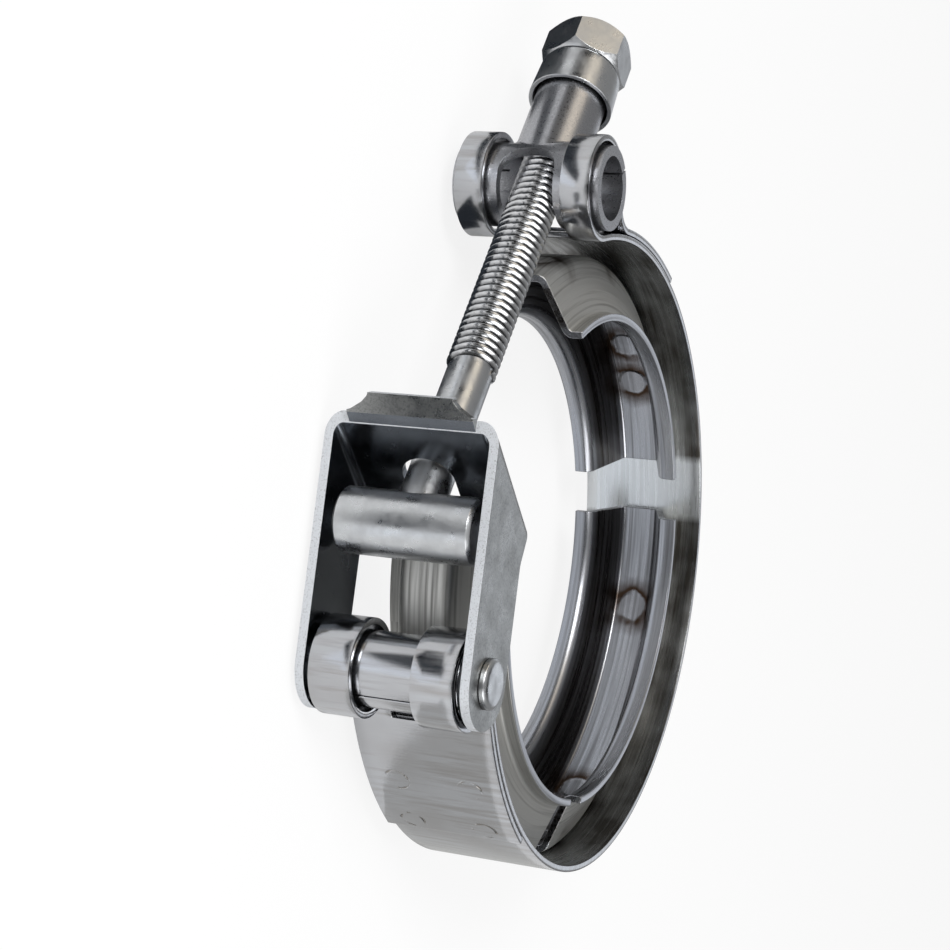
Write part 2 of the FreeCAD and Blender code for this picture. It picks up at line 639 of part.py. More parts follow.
def main():
    """Build every piece and write one file for each."""
    pieces = {
        "band": make_band(),
        "latch_bush": make_bush(),
        "latch_pin": make_pin(),
        "lever": make_lever(),
        "bolt_barrel": make_barrel(),
        "t_bolt": make_bolt(),
        "trunnion": make_trunnion(),
        "cup_washer": make_cup(),
        "nut": make_nut(),
        "upper_retainer": make_retainer(UPPER_RETAINER_START, UPPER_RETAINER_END, UPPER_RETAINER_WELDS),
        "lower_retainer": make_retainer(*LOWER_RETAINER_ARC, LOWER_RETAINER_WELDS),
        "front_retainer": make_retainer(*FRONT_RETAINER_ARC, FRONT_RETAINER_WELDS),
    }
    os.makedirs("parts", exist_ok=True)
    for name, shape in pieces.items():
        box = shape.BoundBox
        print(name, "solids", len(shape.Solids), "valid", shape.isValid(), "volume", round(shape.Volume, 1),
              "z", round(box.ZMin, 2), round(box.ZMax, 2))
        solid = shape.Solids[0] if len(shape.Solids) == 1 else shape
        solid.exportStep("parts/%s.step" % name)


main()
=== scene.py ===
"""Quick release V band clamp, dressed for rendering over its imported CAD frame."""
import json
import math

import bmesh
import bpy
from mathutils import Matrix, Vector

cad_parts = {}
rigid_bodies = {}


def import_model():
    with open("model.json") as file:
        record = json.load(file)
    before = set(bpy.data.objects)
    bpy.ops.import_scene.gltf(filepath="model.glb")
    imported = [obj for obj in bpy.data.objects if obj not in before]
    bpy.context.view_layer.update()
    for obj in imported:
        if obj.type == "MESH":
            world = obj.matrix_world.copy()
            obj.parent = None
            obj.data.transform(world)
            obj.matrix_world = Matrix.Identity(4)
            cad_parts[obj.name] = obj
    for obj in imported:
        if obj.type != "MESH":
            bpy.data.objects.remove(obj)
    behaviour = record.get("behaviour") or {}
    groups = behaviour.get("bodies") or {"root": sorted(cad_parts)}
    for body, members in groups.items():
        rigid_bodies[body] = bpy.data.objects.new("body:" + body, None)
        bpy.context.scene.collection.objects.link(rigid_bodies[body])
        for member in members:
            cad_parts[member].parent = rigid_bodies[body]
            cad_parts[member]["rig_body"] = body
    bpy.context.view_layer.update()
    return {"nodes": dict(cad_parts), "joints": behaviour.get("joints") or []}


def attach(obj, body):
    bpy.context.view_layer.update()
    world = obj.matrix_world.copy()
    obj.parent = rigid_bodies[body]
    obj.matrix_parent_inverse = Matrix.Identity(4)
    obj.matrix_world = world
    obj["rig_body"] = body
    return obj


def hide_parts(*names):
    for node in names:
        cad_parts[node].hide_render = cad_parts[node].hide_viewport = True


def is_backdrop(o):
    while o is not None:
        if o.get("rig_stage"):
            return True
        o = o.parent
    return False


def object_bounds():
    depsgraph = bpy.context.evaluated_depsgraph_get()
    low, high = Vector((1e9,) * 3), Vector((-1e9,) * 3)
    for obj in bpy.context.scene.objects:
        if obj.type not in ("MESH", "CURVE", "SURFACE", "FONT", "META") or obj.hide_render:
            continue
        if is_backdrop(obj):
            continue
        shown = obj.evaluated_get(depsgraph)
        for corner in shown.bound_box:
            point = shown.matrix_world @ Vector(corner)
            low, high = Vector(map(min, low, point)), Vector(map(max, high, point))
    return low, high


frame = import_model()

bl_info = {
    "name": "V Band Clamp",
    "version": (1, 0, 0),
    "blender": (4, 5, 0),
    "location": "3D View > Sidebar > Clamp",
    "description": "Builds the pieces, finishes and studio of a quick release V band clamp",
    "category": "Add Mesh",
}

JOINTS = {joint["name"]: joint for joint in frame["joints"]}
ORIGIN = Vector((0.0, 0.0, 0.0))
UP = Vector((0.0, 0.0, 1.0))
LATCH_PIVOT = Vector(JOINTS["lever_swing"]["pos_m"])
TRUNNION_PIVOT = Vector(JOINTS["trunnion_swing"]["pos_m"])

# The bolt runs from its barrel towards the trunnion's pivot.
BARREL_CENTRE = Vector((-0.0520001, 0.0189985, 0.0))
BOLT_WAY = (TRUNNION_PIVOT - BARREL_CENTRE).normalized()

# Ends of the lever's web, seen from the side.
WEB_BACK = Vector((-0.0401943, 0.0177979, 0.0))
WEB_FRONT = Vector((-0.0509983, 0.0349013, 0.0))

# Angles on the ring, in degrees from +X: the ends of the strip's two tails, where the strip lifts
# off the ring towards the upper loops, and where each retainer starts and ends.
LATCH_TAIL_END = 220.0
TRUNNION_TAIL_END = 50.0
LIFT_OFF = 20.0
RETAINER_SPANS = {
    "upper_retainer": (5.6, 102.0),
    "lower_retainer": (-104.0, -5.4),
    "front_retainer": (161.0, 249.0),
}
STEPS_PER_DEGREE = 1.2

# Spot welds: angles of those in the retainers and in the two tails, and how far those in the tails
# lie to each side of the middle.
RETAINER_WELDS = (25.0, 35.5, 68.0, 92.0, -27.5, -75.0, -96.0, 200.0, 221.0, 240.0)
LATCH_WELDS = (205.8, 217.0)
TRUNNION_WELDS = (55.0, 66.0)
WELD_SIDE = 0.006

FLOOR_WIDTH = 12.0

# Camera of the photograph: its place in metres, and its right and up directions.
CAMERA_PLACE = Vector((-0.310108, 0.100895, 0.121718))
CAMERA_RIGHT = Vector((0.39402, -0.01578, 0.91897)).normalized()
CAMERA_UP = Vector((0.23847, 0.96737, -0.08564)).normalized()


def hex_colour(text):
    """Linear colour with alpha from an sRGB hex value."""
    linear = []
    for index in (1, 3, 5):
        value = int(text[index:index + 2], 16) / 255
        linear.append(value / 12.92 if value <= 0.04045 else ((value + 0.055) / 1.055) ** 2.4)
    return (*linear, 1.0)


def length_property(name, description, default):
    """Size of a piece in metres."""
    return bpy.props.FloatProperty(
        name=name, description=description, default=default, unit="LENGTH", precision=5, min=0.0)


def colour_property(name, description, default):
    """Colour of a finish, from an sRGB hex value."""
    return bpy.props.FloatVectorProperty(
        name=name, description=description, default=hex_colour(default), size=4,
        subtype="COLOR", min=0.0, max=1.0)


class BandSizes(bpy.types.PropertyGroup):
    """Sizes of the sheet band and its retainers."""
    thickness: length_property("Thickness", "Thickness of the band's sheet", 0.001)
    width: length_property("Width", "Width of the band", 0.0224)
    outer_radius: length_property("Outer radius", "Radius of the outside of the ring", 0.051)
    layer_gap: length_property("Layer gap", "Gap between the tail and the ring under it", 0.00015)
    latch_loop: length_property("Latch loop", "Outer radius of the lower loops", 0.0073)
    latch_slot: length_property("Latch slot", "Gap between the lower loops", 0.0093)
    trunnion_loop: length_property("Trunnion loop", "Outer radius of the upper loops", 0.00835)
    trunnion_slot: length_property("Trunnion slot", "Gap between the upper loops", 0.013)
    edge_round: length_property("Edge round", "Rounding of the sheared edges", 0.00014)
    retainer_thickness: length_property("Retainer", "Thickness of the retainers' sheet", 0.0012)
    lip_radius: length_property("Lip radius", "Inner radius of the retainers' lips", 0.0394)
    floor_radius: length_property("Floor radius", "Inner radius of the V groove's floor", 0.0486)


class BoltSizes(bpy.types.PropertyGroup):
    """Sizes of the bolt and its thread."""
    shank_radius: length_property("Shank radius", "Radius of the plain shank", 0.0035)
    crest_radius: length_property("Crest radius", "Radius over the thread", 0.00397)
    root_radius: length_property("Root radius", "Radius at the root of the thread", 0.00335)
    pitch: length_property("Pitch", "Pitch of the thread", 0.00125)
    thread_start: length_property("Thread start", "Plain length from the barrel's centre", 0.028)
    top: length_property("Top", "Length from the barrel's centre to the bolt's top", 0.09705)
    foot: length_property("Foot", "Length of the shank behind the barrel's centre", 0.0031)
    turn_steps: bpy.props.IntProperty(
        name="Steps per turn", description="Segments in each turn of the thread", default=30, min=8)


class FinishColours(bpy.types.PropertyGroup):
    """Colours of the finishes."""
    sheet: colour_property("Sheet", "Polished stainless sheet of the band", "#B9BBBF")
    # Base colour of the band's inner side, under its painted shade.
    band_inside: colour_property("Band inside", "Stained inner side of the band's sheet", "#DADDDF")
    rolled: colour_property("Rolled", "Rolled stainless of the retainers", "#A6A8AD")
    # Paler colour for the retainers' outer side, a painted lightness over the same rolled stainless.
    rolled_back: colour_property("Rolled back", "Outer side of the retainers", "#CBCBC8")
    # Painted shade colour for the retainers' groove walls.
    painted_wall_shade_colour: colour_property("Roll shade", "Dark drawn walls of the retainers", "#35302C")
    stamped: colour_property("Stamped", "Zinc coated sheet of the lever", "#979897")
    inside: colour_property("Inside", "Shaded inner side of the lever's sheet", "#686C72")
    sheared: colour_property("Sheared", "Freshly sheared edges of the lever", "#C8CBCF")
    turned: colour_property("Turned", "Turned steel of the bolt, barrel and nut", "#C3C5C7")
    thread: colour_property("Thread", "Burnished crests of the thread", "#D0D1D3")
    chrome: colour_property("Chrome", "Dark chrome of the trunnion", "#ACADB1")
    tint: colour_property("Heat tint", "Brown tint round a weld", "#3D2F25")


class StageSettings(bpy.types.PropertyGroup):
    """Camera, lamps and floor."""
    lens: bpy.props.FloatProperty(
        name="Lens", description="Focal length of the camera", default=78.97, unit="CAMERA")
    distance: length_property("Floor gap", "Drop from the clamp's lowest point to the floor", 0.0)
    key_power: bpy.props.FloatProperty(
        name="Key", description="Power of the large key lamp", default=5.0, unit="POWER", min=0.0)
    fill_power: bpy.props.FloatProperty(
        name="Fill", description="Power of the fill lamp", default=2.5, unit="POWER", min=0.0)
    floor_colour: colour_property("Floor", "Pale floor", "#F4F4F4")
    ambient: bpy.props.FloatProperty(
        name="Ambient", description="Light from all round", default=0.45, min=0.0)
    mirrored: bpy.props.FloatProperty(
        name="Mirrored", description="Brightness of the backdrop in the metal", default=0.3, min=0.0)


class ClampSettings(bpy.types.PropertyGroup):
    """All the settings of the clamp."""
    band: bpy.props.PointerProperty(type=BandSizes)
    bolt: bpy.props.PointerProperty(type=BoltSizes)
    finish: bpy.props.PointerProperty(type=FinishColours)
    stage: bpy.props.PointerProperty(type=StageSettings)


def polar(centre, radius, angle, height=0.0):
    """Point at an angle in degrees on a circle in the plane of the ring."""
    turn = math.radians(angle)
    return centre + Vector((radius * math.cos(turn), radius * math.sin(turn), height))


def angle_of(start, end):
    """Direction in degrees from one point to another."""
    return math.degrees(math.atan2(end.y - start.y, end.x - start.x))


def circles_meet(first, first_r, second, second_r, side):
    """Crossing of two circles, left (+1) or right (-1) of the line between their centres."""
    across = second - first
    span = across.length
    along = (first_r ** 2 - second_r ** 2 + span ** 2) / (2 * span)
    height = math.sqrt(first_r ** 2 - along ** 2)
    unit = across / span
    return first + unit * along + Vector((-unit.y, unit.x, 0.0)) * (height * side)


def add_node(tree, kind, inputs=(), **settings):
    """Add a node, set its own settings, and set or link each of its inputs."""
    made = tree.nodes.new(kind)
    for name, value in settings.items():
        setattr(made, name, value)
    for key, value in dict(inputs).items():
        if isinstance(value, bpy.types.NodeSocket):
            tree.links.new(value, made.inputs[key])
        else:
            made.inputs[key].default_value = value
    return made


def new_material(name):
    """Material with an empty node tree."""
    material = bpy.data.materials.new(name)
    material.use_nodes = True
    material.node_tree.nodes.clear()
    return material


def new_metal(name, colour, roughness):
    """Metal with its output, ready for its pattern."""
    material = new_material("clamp_" + name)
    tree = material.node_tree
    shader = add_node(tree, "ShaderNodeBsdfPrincipled", {
        "Base Color": colour, "Metallic": 1.0, "Roughness": roughness})
    add_node(tree, "ShaderNodeOutputMaterial", {"Surface": shader.outputs["BSDF"]})
    return material, tree, shader


def pattern(tree, vector, marks, detail):
    """Noise with a number of marks in each millimetre along the three axes of a vector in metres.

    Real grain and brushing are too fine to show, so they are drawn a few marks to the millimetre.
    """
    scale = [number * 1000 for number in marks]
    mapping = add_node(tree, "ShaderNodeMapping", {"Vector": vector, "Scale": scale})
    noise = add_node(tree, "ShaderNodeTexNoise", {
        "Vector": mapping.outputs["Vector"], "Scale": 1.0, "Detail": detail, "Roughness": 0.6})
    return noise.outputs["Fac"]


def rolled_vector(tree):
    """Object position, and the same unrolled round the ring: arc length, radius and height."""
    mean_radius = 0.05
    place = add_node(tree, "ShaderNodeTexCoord").outputs["Object"]
    split = add_node(tree, "ShaderNodeSeparateXYZ", {"Vector": place})
    x, y, z = split.outputs
    angle = add_node(tree, "ShaderNodeMath", {0: y, 1: x}, operation="ARCTAN2").outputs[0]
    arc = add_node(tree, "ShaderNodeMath", {0: angle, 1: mean_radius}, operation="MULTIPLY").outputs[0]
    square_x = add_node(tree, "ShaderNodeMath", {0: x, 1: x}, operation="MULTIPLY").outputs[0]
    square = add_node(
        tree, "ShaderNodeMath", {0: y, 1: y, 2: square_x}, operation="MULTIPLY_ADD").outputs[0]
    radius = add_node(tree, "ShaderNodeMath", {0: square}, operation="SQRT").outputs[0]
    joined = add_node(tree, "ShaderNodeCombineXYZ", {"X": arc, "Y": radius, "Z": z})
    return place, joined.outputs["Vector"]


def spot_distance(tree, place, points):
    """Distance from the surface to the nearest of some points."""
    nearest = None
    for point in points:
        gap = add_node(tree, "ShaderNodeVectorMath", {0: place, 1: tuple(point)}, operation="DISTANCE")
        gap = gap.outputs["Value"]
        if nearest is None:
            nearest = gap
            continue
        nearest = add_node(tree, "ShaderNodeMath", {0: nearest, 1: gap}, operation="MINIMUM").outputs[0]
    return nearest


def tinted(tree, shader, base, tint, factor):
    """Base colour that turns from a colour, or an earlier blend, towards a tint."""
    blend = add_node(tree, "ShaderNodeMix", {"Factor": factor, 6: base, 7: tint}, data_type="RGBA")
    tree.links.new(blend.outputs[2], shader.inputs["Base Color"])
    return blend.outputs[2]


def stained(tree, shader, base, tint, marks, low, high, most):
    """Base colour tinted where a pattern runs from low to high, by no more than a share."""
    factor = add_node(tree, "ShaderNodeMapRange", {0: marks, 1: low, 2: high, 3: 0.0, 4: most})
    tinted(tree, shader, base, tint, factor.outputs[0])


def roughened(tree, shader, marks, low, high, smoothest, roughest):
    """Roughness that follows a pattern, between its low and its high."""
    rough = add_node(tree, "ShaderNodeMapRange", {
        0: marks, 1: low, 2: high, 3: smoothest, 4: roughest})
    tree.links.new(rough.outputs[0], shader.inputs["Roughness"])


def bumped(tree, shader, height, distance, strength=1.0):
    """Bump from a height, with its distance in metres."""
    bump = add_node(tree, "ShaderNodeBump", {
        "Height": height, "Distance": distance, "Strength": strength})
    tree.links.new(bump.outputs["Normal"], shader.inputs["Normal"])


def polished_sheet_metal(finish, band):
    """Polished stainless sheet: clear reflections, broken by brushing across the width.

    Each spot weld of the tails leaves a shallow, broken ring.
    """
    material, tree, shader = new_metal("polished_stainless_sheet", tuple(finish.sheet), 0.17)
    place, rolled = rolled_vector(tree)
    brushing = pattern(tree, rolled, (5.2, 0.3, 0.16), 4.0)
    cloud = pattern(tree, place, (0.07, 0.07, 0.07), 2.0)
    ease, ease_radius = trunnion_ease(band)
    tail_face = ease_radius + 1.5 * band.thickness + band.layer_gap
    points = []
    for height in (-WELD_SIDE, WELD_SIDE):
        for angle in LATCH_WELDS:
            points.append(polar(ORIGIN, band.outer_radius + band.thickness, angle, height))
        for angle in TRUNNION_WELDS:
            points.append(polar(ease, tail_face, angle, height))
    spots = spot_distance(tree, place, points)
    weld_radius = 0.0019
    outer = add_node(tree, "ShaderNodeMapRange", {
        0: spots, 1: weld_radius + 0.00005, 2: weld_radius + 0.00025, 3: 1.0, 4: 0.0}).outputs[0]
    inner = add_node(tree, "ShaderNodeMapRange", {
        0: spots, 1: weld_radius - 0.00025, 2: weld_radius - 0.00005, 3: 0.0, 4: 1.0}).outputs[0]
    rim = add_node(tree, "ShaderNodeMath", {0: outer, 1: inner}, operation="MULTIPLY").outputs[0]
    broken = pattern(tree, place, (0.42, 0.42, 0.42), 1.0)
    broken = add_node(tree, "ShaderNodeMapRange", {
        0: broken, 1: 0.42, 2: 0.55, 3: 0.0, 4: 1.0}).outputs[0]
    ring = add_node(tree, "ShaderNodeMath", {0: rim, 1: broken}, operation="MULTIPLY").outputs[0]
    streaks_and_any_wall_shade = add_node(tree, "ShaderNodeMath", {0: brushing, 1: 0.2, 2: 0.08}, operation="MULTIPLY_ADD")
    rough = add_node(
        tree, "ShaderNodeMath", {0: ring, 1: 0.2, 2: streaks_and_any_wall_shade.outputs[0]}, operation="MULTIPLY_ADD")
    tree.links.new(rough.outputs[0], shader.inputs["Roughness"])
    shade = add_node(tree, "ShaderNodeMapRange", {
        0: cloud, 1: 0.4, 2: 0.68, 3: 0.0, 4: 0.35}).outputs[0]
    lines = pattern(tree, rolled, (1.3, 0.3, 0.07), 3.0)
    lines = add_node(tree, "ShaderNodeMapRange", {
        0: lines, 1: 0.42, 2: 0.68, 3: 0.0, 4: 0.5}).outputs[0]
    shade = add_node(tree, "ShaderNodeMath", {0: shade, 1: lines}, operation="MAXIMUM").outputs[0]
    shade = add_node(
        tree, "ShaderNodeMath", {0: ring, 1: 0.85, 2: shade}, operation="MULTIPLY_ADD").outputs[0]
    tinted(tree, shader, tuple(finish.sheet), hex_colour("#8F8A85"), shade)
    height = add_node(tree, "ShaderNodeMath", {0: ring, 1: -9.0, 2: brushing}, operation="MULTIPLY_ADD")
    bumped(tree, shader, height.outputs[0], 0.000012)
    return material


def rolled_metal(name, colour, finish, band, walls):
    """Rolled stainless: streaks along the roll, painted shade on the V's walls, brown tint round the
    welds.

    The share given as walls is how strong the painted shade on the walls is. It is low for the outer
    side, whose paler colour is painted light and which is more matt.
    """
    material, tree, shader = new_metal(name, tuple(colour), 0.26)
    place, rolled = rolled_vector(tree)
    radius = add_node(tree, "ShaderNodeSeparateXYZ", {"Vector": rolled}).outputs["Y"]
    streak = pattern(tree, rolled, (0.026, 1.5, 1.5), 3.0)
    # Painted shade on the groove's walls, from just past the lips to just short of the floor, broken by
    # streaks.
    lip = band.lip_radius
    inner = add_node(tree, "ShaderNodeMapRange", {
        0: radius, 1: lip + 0.0013, 2: lip + 0.0022, 3: 0.0, 4: 1.0}).outputs[0]
    floor = band.floor_radius
    outer = add_node(tree, "ShaderNodeMapRange", {
        0: radius, 1: floor - 0.0012, 2: floor - 0.0001, 3: 1.0, 4: 0.0}).outputs[0]
    painted_wall_shade_mask = add_node(tree, "ShaderNodeMath", {0: inner, 1: outer}, operation="MULTIPLY").outputs[0]
    lines = add_node(tree, "ShaderNodeMapRange", {
        0: streak, 1: 0.34, 2: 0.66, 3: 0.97 * walls, 4: 0.66 * walls}).outputs[0]
    painted_wall_shade_mask = add_node(tree, "ShaderNodeMath", {0: painted_wall_shade_mask, 1: lines}, operation="MULTIPLY").outputs[0]
    floor_lines = add_node(tree, "ShaderNodeMapRange", {
        0: streak, 1: 0.46, 2: 0.7, 3: 0.0, 4: 0.5}).outputs[0]
    # Real streaks on the floor, joined with the painted wall shade.
    streaks_and_any_wall_shade = add_node(tree, "ShaderNodeMath", {0: painted_wall_shade_mask, 1: floor_lines}, operation="MAXIMUM").outputs[0]
    shaded = tinted(tree, shader, tuple(colour), tuple(finish.painted_wall_shade_colour), streaks_and_any_wall_shade)
    points = [polar(ORIGIN, band.floor_radius, angle) for angle in RETAINER_WELDS]
    spots = spot_distance(tree, place, points)
    cloud = pattern(tree, place, (0.33, 0.33, 0.33), 2.0)
    uneven = add_node(
        tree, "ShaderNodeMath", {0: cloud, 1: 0.0024, 2: spots}, operation="MULTIPLY_ADD").outputs[0]
    near = add_node(tree, "ShaderNodeMapRange", {
        0: uneven, 1: 0.0044, 2: 0.0072, 3: 1.0, 4: 0.0}).outputs[0]
    hole = add_node(tree, "ShaderNodeMapRange", {
        0: uneven, 1: 0.0035, 2: 0.0040, 3: 0.25, 4: 1.0}).outputs[0]
    halo = add_node(tree, "ShaderNodeMath", {0: near, 1: hole}, operation="MULTIPLY").outputs[0]
    patchy = pattern(tree, place, (0.19, 0.19, 0.19), 2.0)
    patchy = add_node(tree, "ShaderNodeMapRange", {
        0: patchy, 1: 0.36, 2: 0.52, 3: 0.4, 4: 1.0}).outputs[0]
    halo = add_node(tree, "ShaderNodeMath", {0: halo, 1: patchy}, operation="MULTIPLY").outputs[0]
    tinted(tree, shader, shaded, tuple(finish.tint), halo)
    matt = 0.25 * (1.0 - walls)
    roughened(tree, shader, streak, 0.3, 0.7, 0.2 + matt, 0.4 + matt)
    dimple = add_node(tree, "ShaderNodeMapRange", {
        0: spots, 1: 0.0022, 2: 0.0027, 3: -9.0, 4: 0.0}).outputs[0]
    height = add_node(tree, "ShaderNodeMath", {0: streak, 1: dimple}, operation="ADD")
    bumped(tree, shader, height.outputs[0], 0.00001)
    return material


def inner_sheet_metal(finish):
    """Inner side of the band: the same sheet, with streaks round the ring and painted shade in dark
    brown clouds.

    A strip across it is a painted reflection, left light, where the two retainers leave a gap.
    """
    material, tree, shader = new_metal("band_inside", tuple(finish.band_inside), 0.25)
    place, rolled = rolled_vector(tree)
    streak = pattern(tree, rolled, (0.04, 0.9, 1.4), 3.0)
    cloud = pattern(tree, place, (0.048, 0.048, 0.048), 3.0)
    arc = add_node(tree, "ShaderNodeSeparateXYZ", {"Vector": rolled}).outputs["X"]
    reflection_strip_middle = -0.0005
    side = add_node(tree, "ShaderNodeMath", {0: arc, 1: reflection_strip_middle}, operation="SUBTRACT").outputs[0]
    side = add_node(tree, "ShaderNodeMath", {0: side}, operation="ABSOLUTE").outputs[0]
    painted_reflection_strip = add_node(tree, "ShaderNodeMapRange", {
        0: side, 1: 0.0035, 2: 0.0065, 3: 0.7, 4: 0.0}).outputs[0]
    # Streaks, and dark brown clouds of painted shade, less over the painted reflection strip.
    shade = add_node(
        tree, "ShaderNodeMath", {0: streak, 1: 0.45, 2: cloud}, operation="MULTIPLY_ADD").outputs[0]
    shade = add_node(tree, "ShaderNodeMath", {0: shade, 1: painted_reflection_strip}, operation="SUBTRACT").outputs[0]
    stained(tree, shader, tuple(finish.band_inside), hex_colour("#3B352B"), shade, 0.42, 0.86, 0.93)
    roughened(tree, shader, streak, 0.3, 0.7, 0.2, 0.38)
    bumped(tree, shader, streak, 0.00001)
    return material


def stamped_metal(finish):
    """Zinc coated stamped sheet: matt grain over a dull mirror."""
    material, tree, shader = new_metal("zinc_coated_stamping", tuple(finish.stamped), 0.32)
    place = add_node(tree, "ShaderNodeTexCoord").outputs["Object"]
    grain = pattern(tree, place, (3.3, 3.3, 3.3), 3.0)
    cloud = pattern(tree, place, (0.24, 0.24, 0.24), 3.0)
    roughened(tree, shader, cloud, 0.35, 0.7, 0.24, 0.42)
    stained(tree, shader, tuple(finish.stamped), hex_colour("#5B5D60"), grain, 0.46, 0.68, 0.5)
    bumped(tree, shader, grain, 0.00004, 0.6)
    return material


def inner_metal(finish):
    """Inner side of the stamping: the same sheet, smoother, and darker as painted shade."""
    material, tree, shader = new_metal("stamping_inside", tuple(finish.inside), 0.2)
    place = add_node(tree, "ShaderNodeTexCoord").outputs["Object"]
    cloud = pattern(tree, place, (0.3, 0.3, 0.3), 4.0)
    roughened(tree, shader, cloud, 0.35, 0.7, 0.15, 0.3)
    grain = pattern(tree, place, (2.2, 2.2, 2.2), 2.0)
    bumped(tree, shader, grain, 0.00001, 0.5)
    return material


def sheared_metal(finish):
    """Sheared edge of the stamping: pale burnish with dark specks, where the metal tore."""
    material, tree, shader = new_metal("sheared_edge", tuple(finish.sheared), 0.42)
    shader.inputs["Metallic"].default_value = 0.5
    place = add_node(tree, "ShaderNodeTexCoord").outputs["Object"]
    specks = pattern(tree, place, (4.2, 4.2, 4.2), 3.0)
    stained(tree, shader, tuple(finish.sheared), hex_colour("#4A4440"), specks, 0.54, 0.7, 0.5)
    bumped(tree, shader, specks, 0.00006, 0.8)
    return material


def turned_metal(finish):
    """Turned and tumbled steel: satin, with a fine grain and cloudy marks."""
    material, tree, shader = new_metal("turned_steel", tuple(finish.turned), 0.24)
    place = add_node(tree, "ShaderNodeTexCoord").outputs["Object"]
    grain = pattern(tree, place, (1.9, 1.9, 1.9), 3.0)
    cloud = pattern(tree, place, (0.42, 0.42, 0.42), 4.0)
    roughened(tree, shader, cloud, 0.35, 0.7, 0.25, 0.42)
    stained(tree, shader, tuple(finish.turned), hex_colour("#808082"), cloud, 0.45, 0.8, 0.28)
    bumped(tree, shader, grain, 0.00003, 0.6)
    return material


def thread_metal(finish, bolt):
    """Rolled thread: burnished crests, with painted shade darkening the roots."""
    material, tree, shader = new_metal("rolled_thread_steel", tuple(finish.turned), 0.16)
    place = add_node(tree, "ShaderNodeTexCoord").outputs["Object"]
    grain = pattern(tree, place, (1.5, 1.5, 1.5), 3.0)
    roughened(tree, shader, grain, 0.35, 0.7, 0.12, 0.3)
    away = add_node(
        tree, "ShaderNodeVectorMath", {0: place, 1: tuple(BARREL_CENTRE)}, operation="SUBTRACT")
    away = add_node(tree, "ShaderNodeVectorMath", {
        0: away.outputs[0], 1: tuple(BOLT_WAY)}, operation="CROSS_PRODUCT")
    radius = add_node(tree, "ShaderNodeVectorMath", {0: away.outputs[0]}, operation="LENGTH")
    radius = radius.outputs["Value"]
    # Painted shade: near black down towards the thread's roots.
    root = add_node(tree, "ShaderNodeMapRange", {
        0: radius, 1: bolt.root_radius, 2: bolt.crest_radius - 0.00015, 3: 0.92, 4: 0.0}).outputs[0]
    tinted(tree, shader, tuple(finish.thread), hex_colour("#1B1A1B"), root)
    bumped(tree, shader, grain, 0.00002, 0.5)
    return material


def chrome_metal(finish):
    """Dark chrome over drawn steel: deep reflections with a slight ripple."""
    material, tree, shader = new_metal("dark_chrome", tuple(finish.chrome), 0.2)
    place = add_node(tree, "ShaderNodeTexCoord").outputs["Object"]
    ripple = pattern(tree, place, (0.22, 0.22, 0.22), 2.0)
    grain = pattern(tree, place, (3.2, 3.2, 3.2), 2.0)
    roughened(tree, shader, grain, 0.3, 0.7, 0.25, 0.36)
    stained(tree, shader, tuple(finish.chrome), hex_colour("#5E5D60"), grain, 0.5, 0.75, 0.3)
    bumped(tree, shader, ripple, 0.00006, 0.3)
    return material


def material_for(name):
    """Finish by its short name, made once."""
    settings = bpy.context.scene.v_band_clamp
    makers = {
        "polished_stainless_sheet": lambda: polished_sheet_metal(settings.finish, settings.band),
        "band_inside": lambda: inner_sheet_metal(settings.finish),
        "rolled_groove": lambda: rolled_metal(
            name, settings.finish.rolled, settings.finish, settings.band, 1.0),
        # The outer side: paler colour as painted light, little painted wall shade, more roughness.
        "rolled_back": lambda: rolled_metal(
            name, settings.finish.rolled_back, settings.finish, settings.band, 0.1),
        "zinc_coated_stamping": lambda: stamped_metal(settings.finish),
        "stamping_inside": lambda: inner_metal(settings.finish),
        "sheared_edge": lambda: sheared_metal(settings.finish),
        "turned_steel": lambda: turned_metal(settings.finish),
        "rolled_thread_steel": lambda: thread_metal(settings.finish, settings.bolt),
        "dark_chrome": lambda: chrome_metal(settings.finish),
    }
    return bpy.data.materials.get("clamp_" + name) or makers[name]()


def show_piece(name, mesh, finishes, node):
    """Link a finished mesh as a piece that stands for a CAD node and rides with its body."""
    mesh.materials.clear()
    for finish in finishes:
        mesh.materials.append(material_for(finish))
    piece = bpy.data.objects.new(name, mesh)
    bpy.context.scene.collection.objects.link(piece)
    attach(piece, frame["nodes"][node]["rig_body"])
    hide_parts(node)
    return piece


def soften(piece, width, segments=2, angle=35.0):
    """Small even rounding of the sharp edges, with flat faces kept flat."""
    bevel = piece.modifiers.new("edge_round", "BEVEL")
    bevel.width = width
    bevel.segments = segments
    bevel.limit_method = "ANGLE"
    bevel.angle_limit = math.radians(angle)
    bevel.use_clamp_overlap = True
    weight = piece.modifiers.new("flat_faces", "WEIGHTED_NORMAL")
    weight.keep_sharp = True


def dress(node, name, finish, edge, segments=2):
    """Show a CAD node's own shape in one finish, its sharp edges rounded."""
    soften(show_piece(name, copy_of_node(node, name), [finish], node), edge, segments)


def finished_mesh(mesh, modifiers):
    """Plain mesh from a mesh with modifiers, given as (kind, settings)."""
    holder = bpy.data.objects.new("holder", mesh)
    bpy.context.scene.collection.objects.link(holder)
    for kind, settings in modifiers:
        modifier = holder.modifiers.new(kind.lower(), kind)
        for key, value in settings.items():
            setattr(modifier, key, value)
    shown = holder.evaluated_get(bpy.context.evaluated_depsgraph_get())
    made = bpy.data.meshes.new_from_object(shown)
    bpy.data.objects.remove(holder)
    return made


def smooth(mesh, angle=35.0):
    """Smooth shading that stays sharp past an angle."""
    mesh.shade_smooth()
    mesh.set_sharp_from_angle(angle=math.radians(angle))
    return mesh


def mesh_from(work, name):
    """New mesh from a bmesh, which is freed."""
    mesh = bpy.data.meshes.new(name)
    work.to_mesh(mesh)
    work.free()
    return mesh


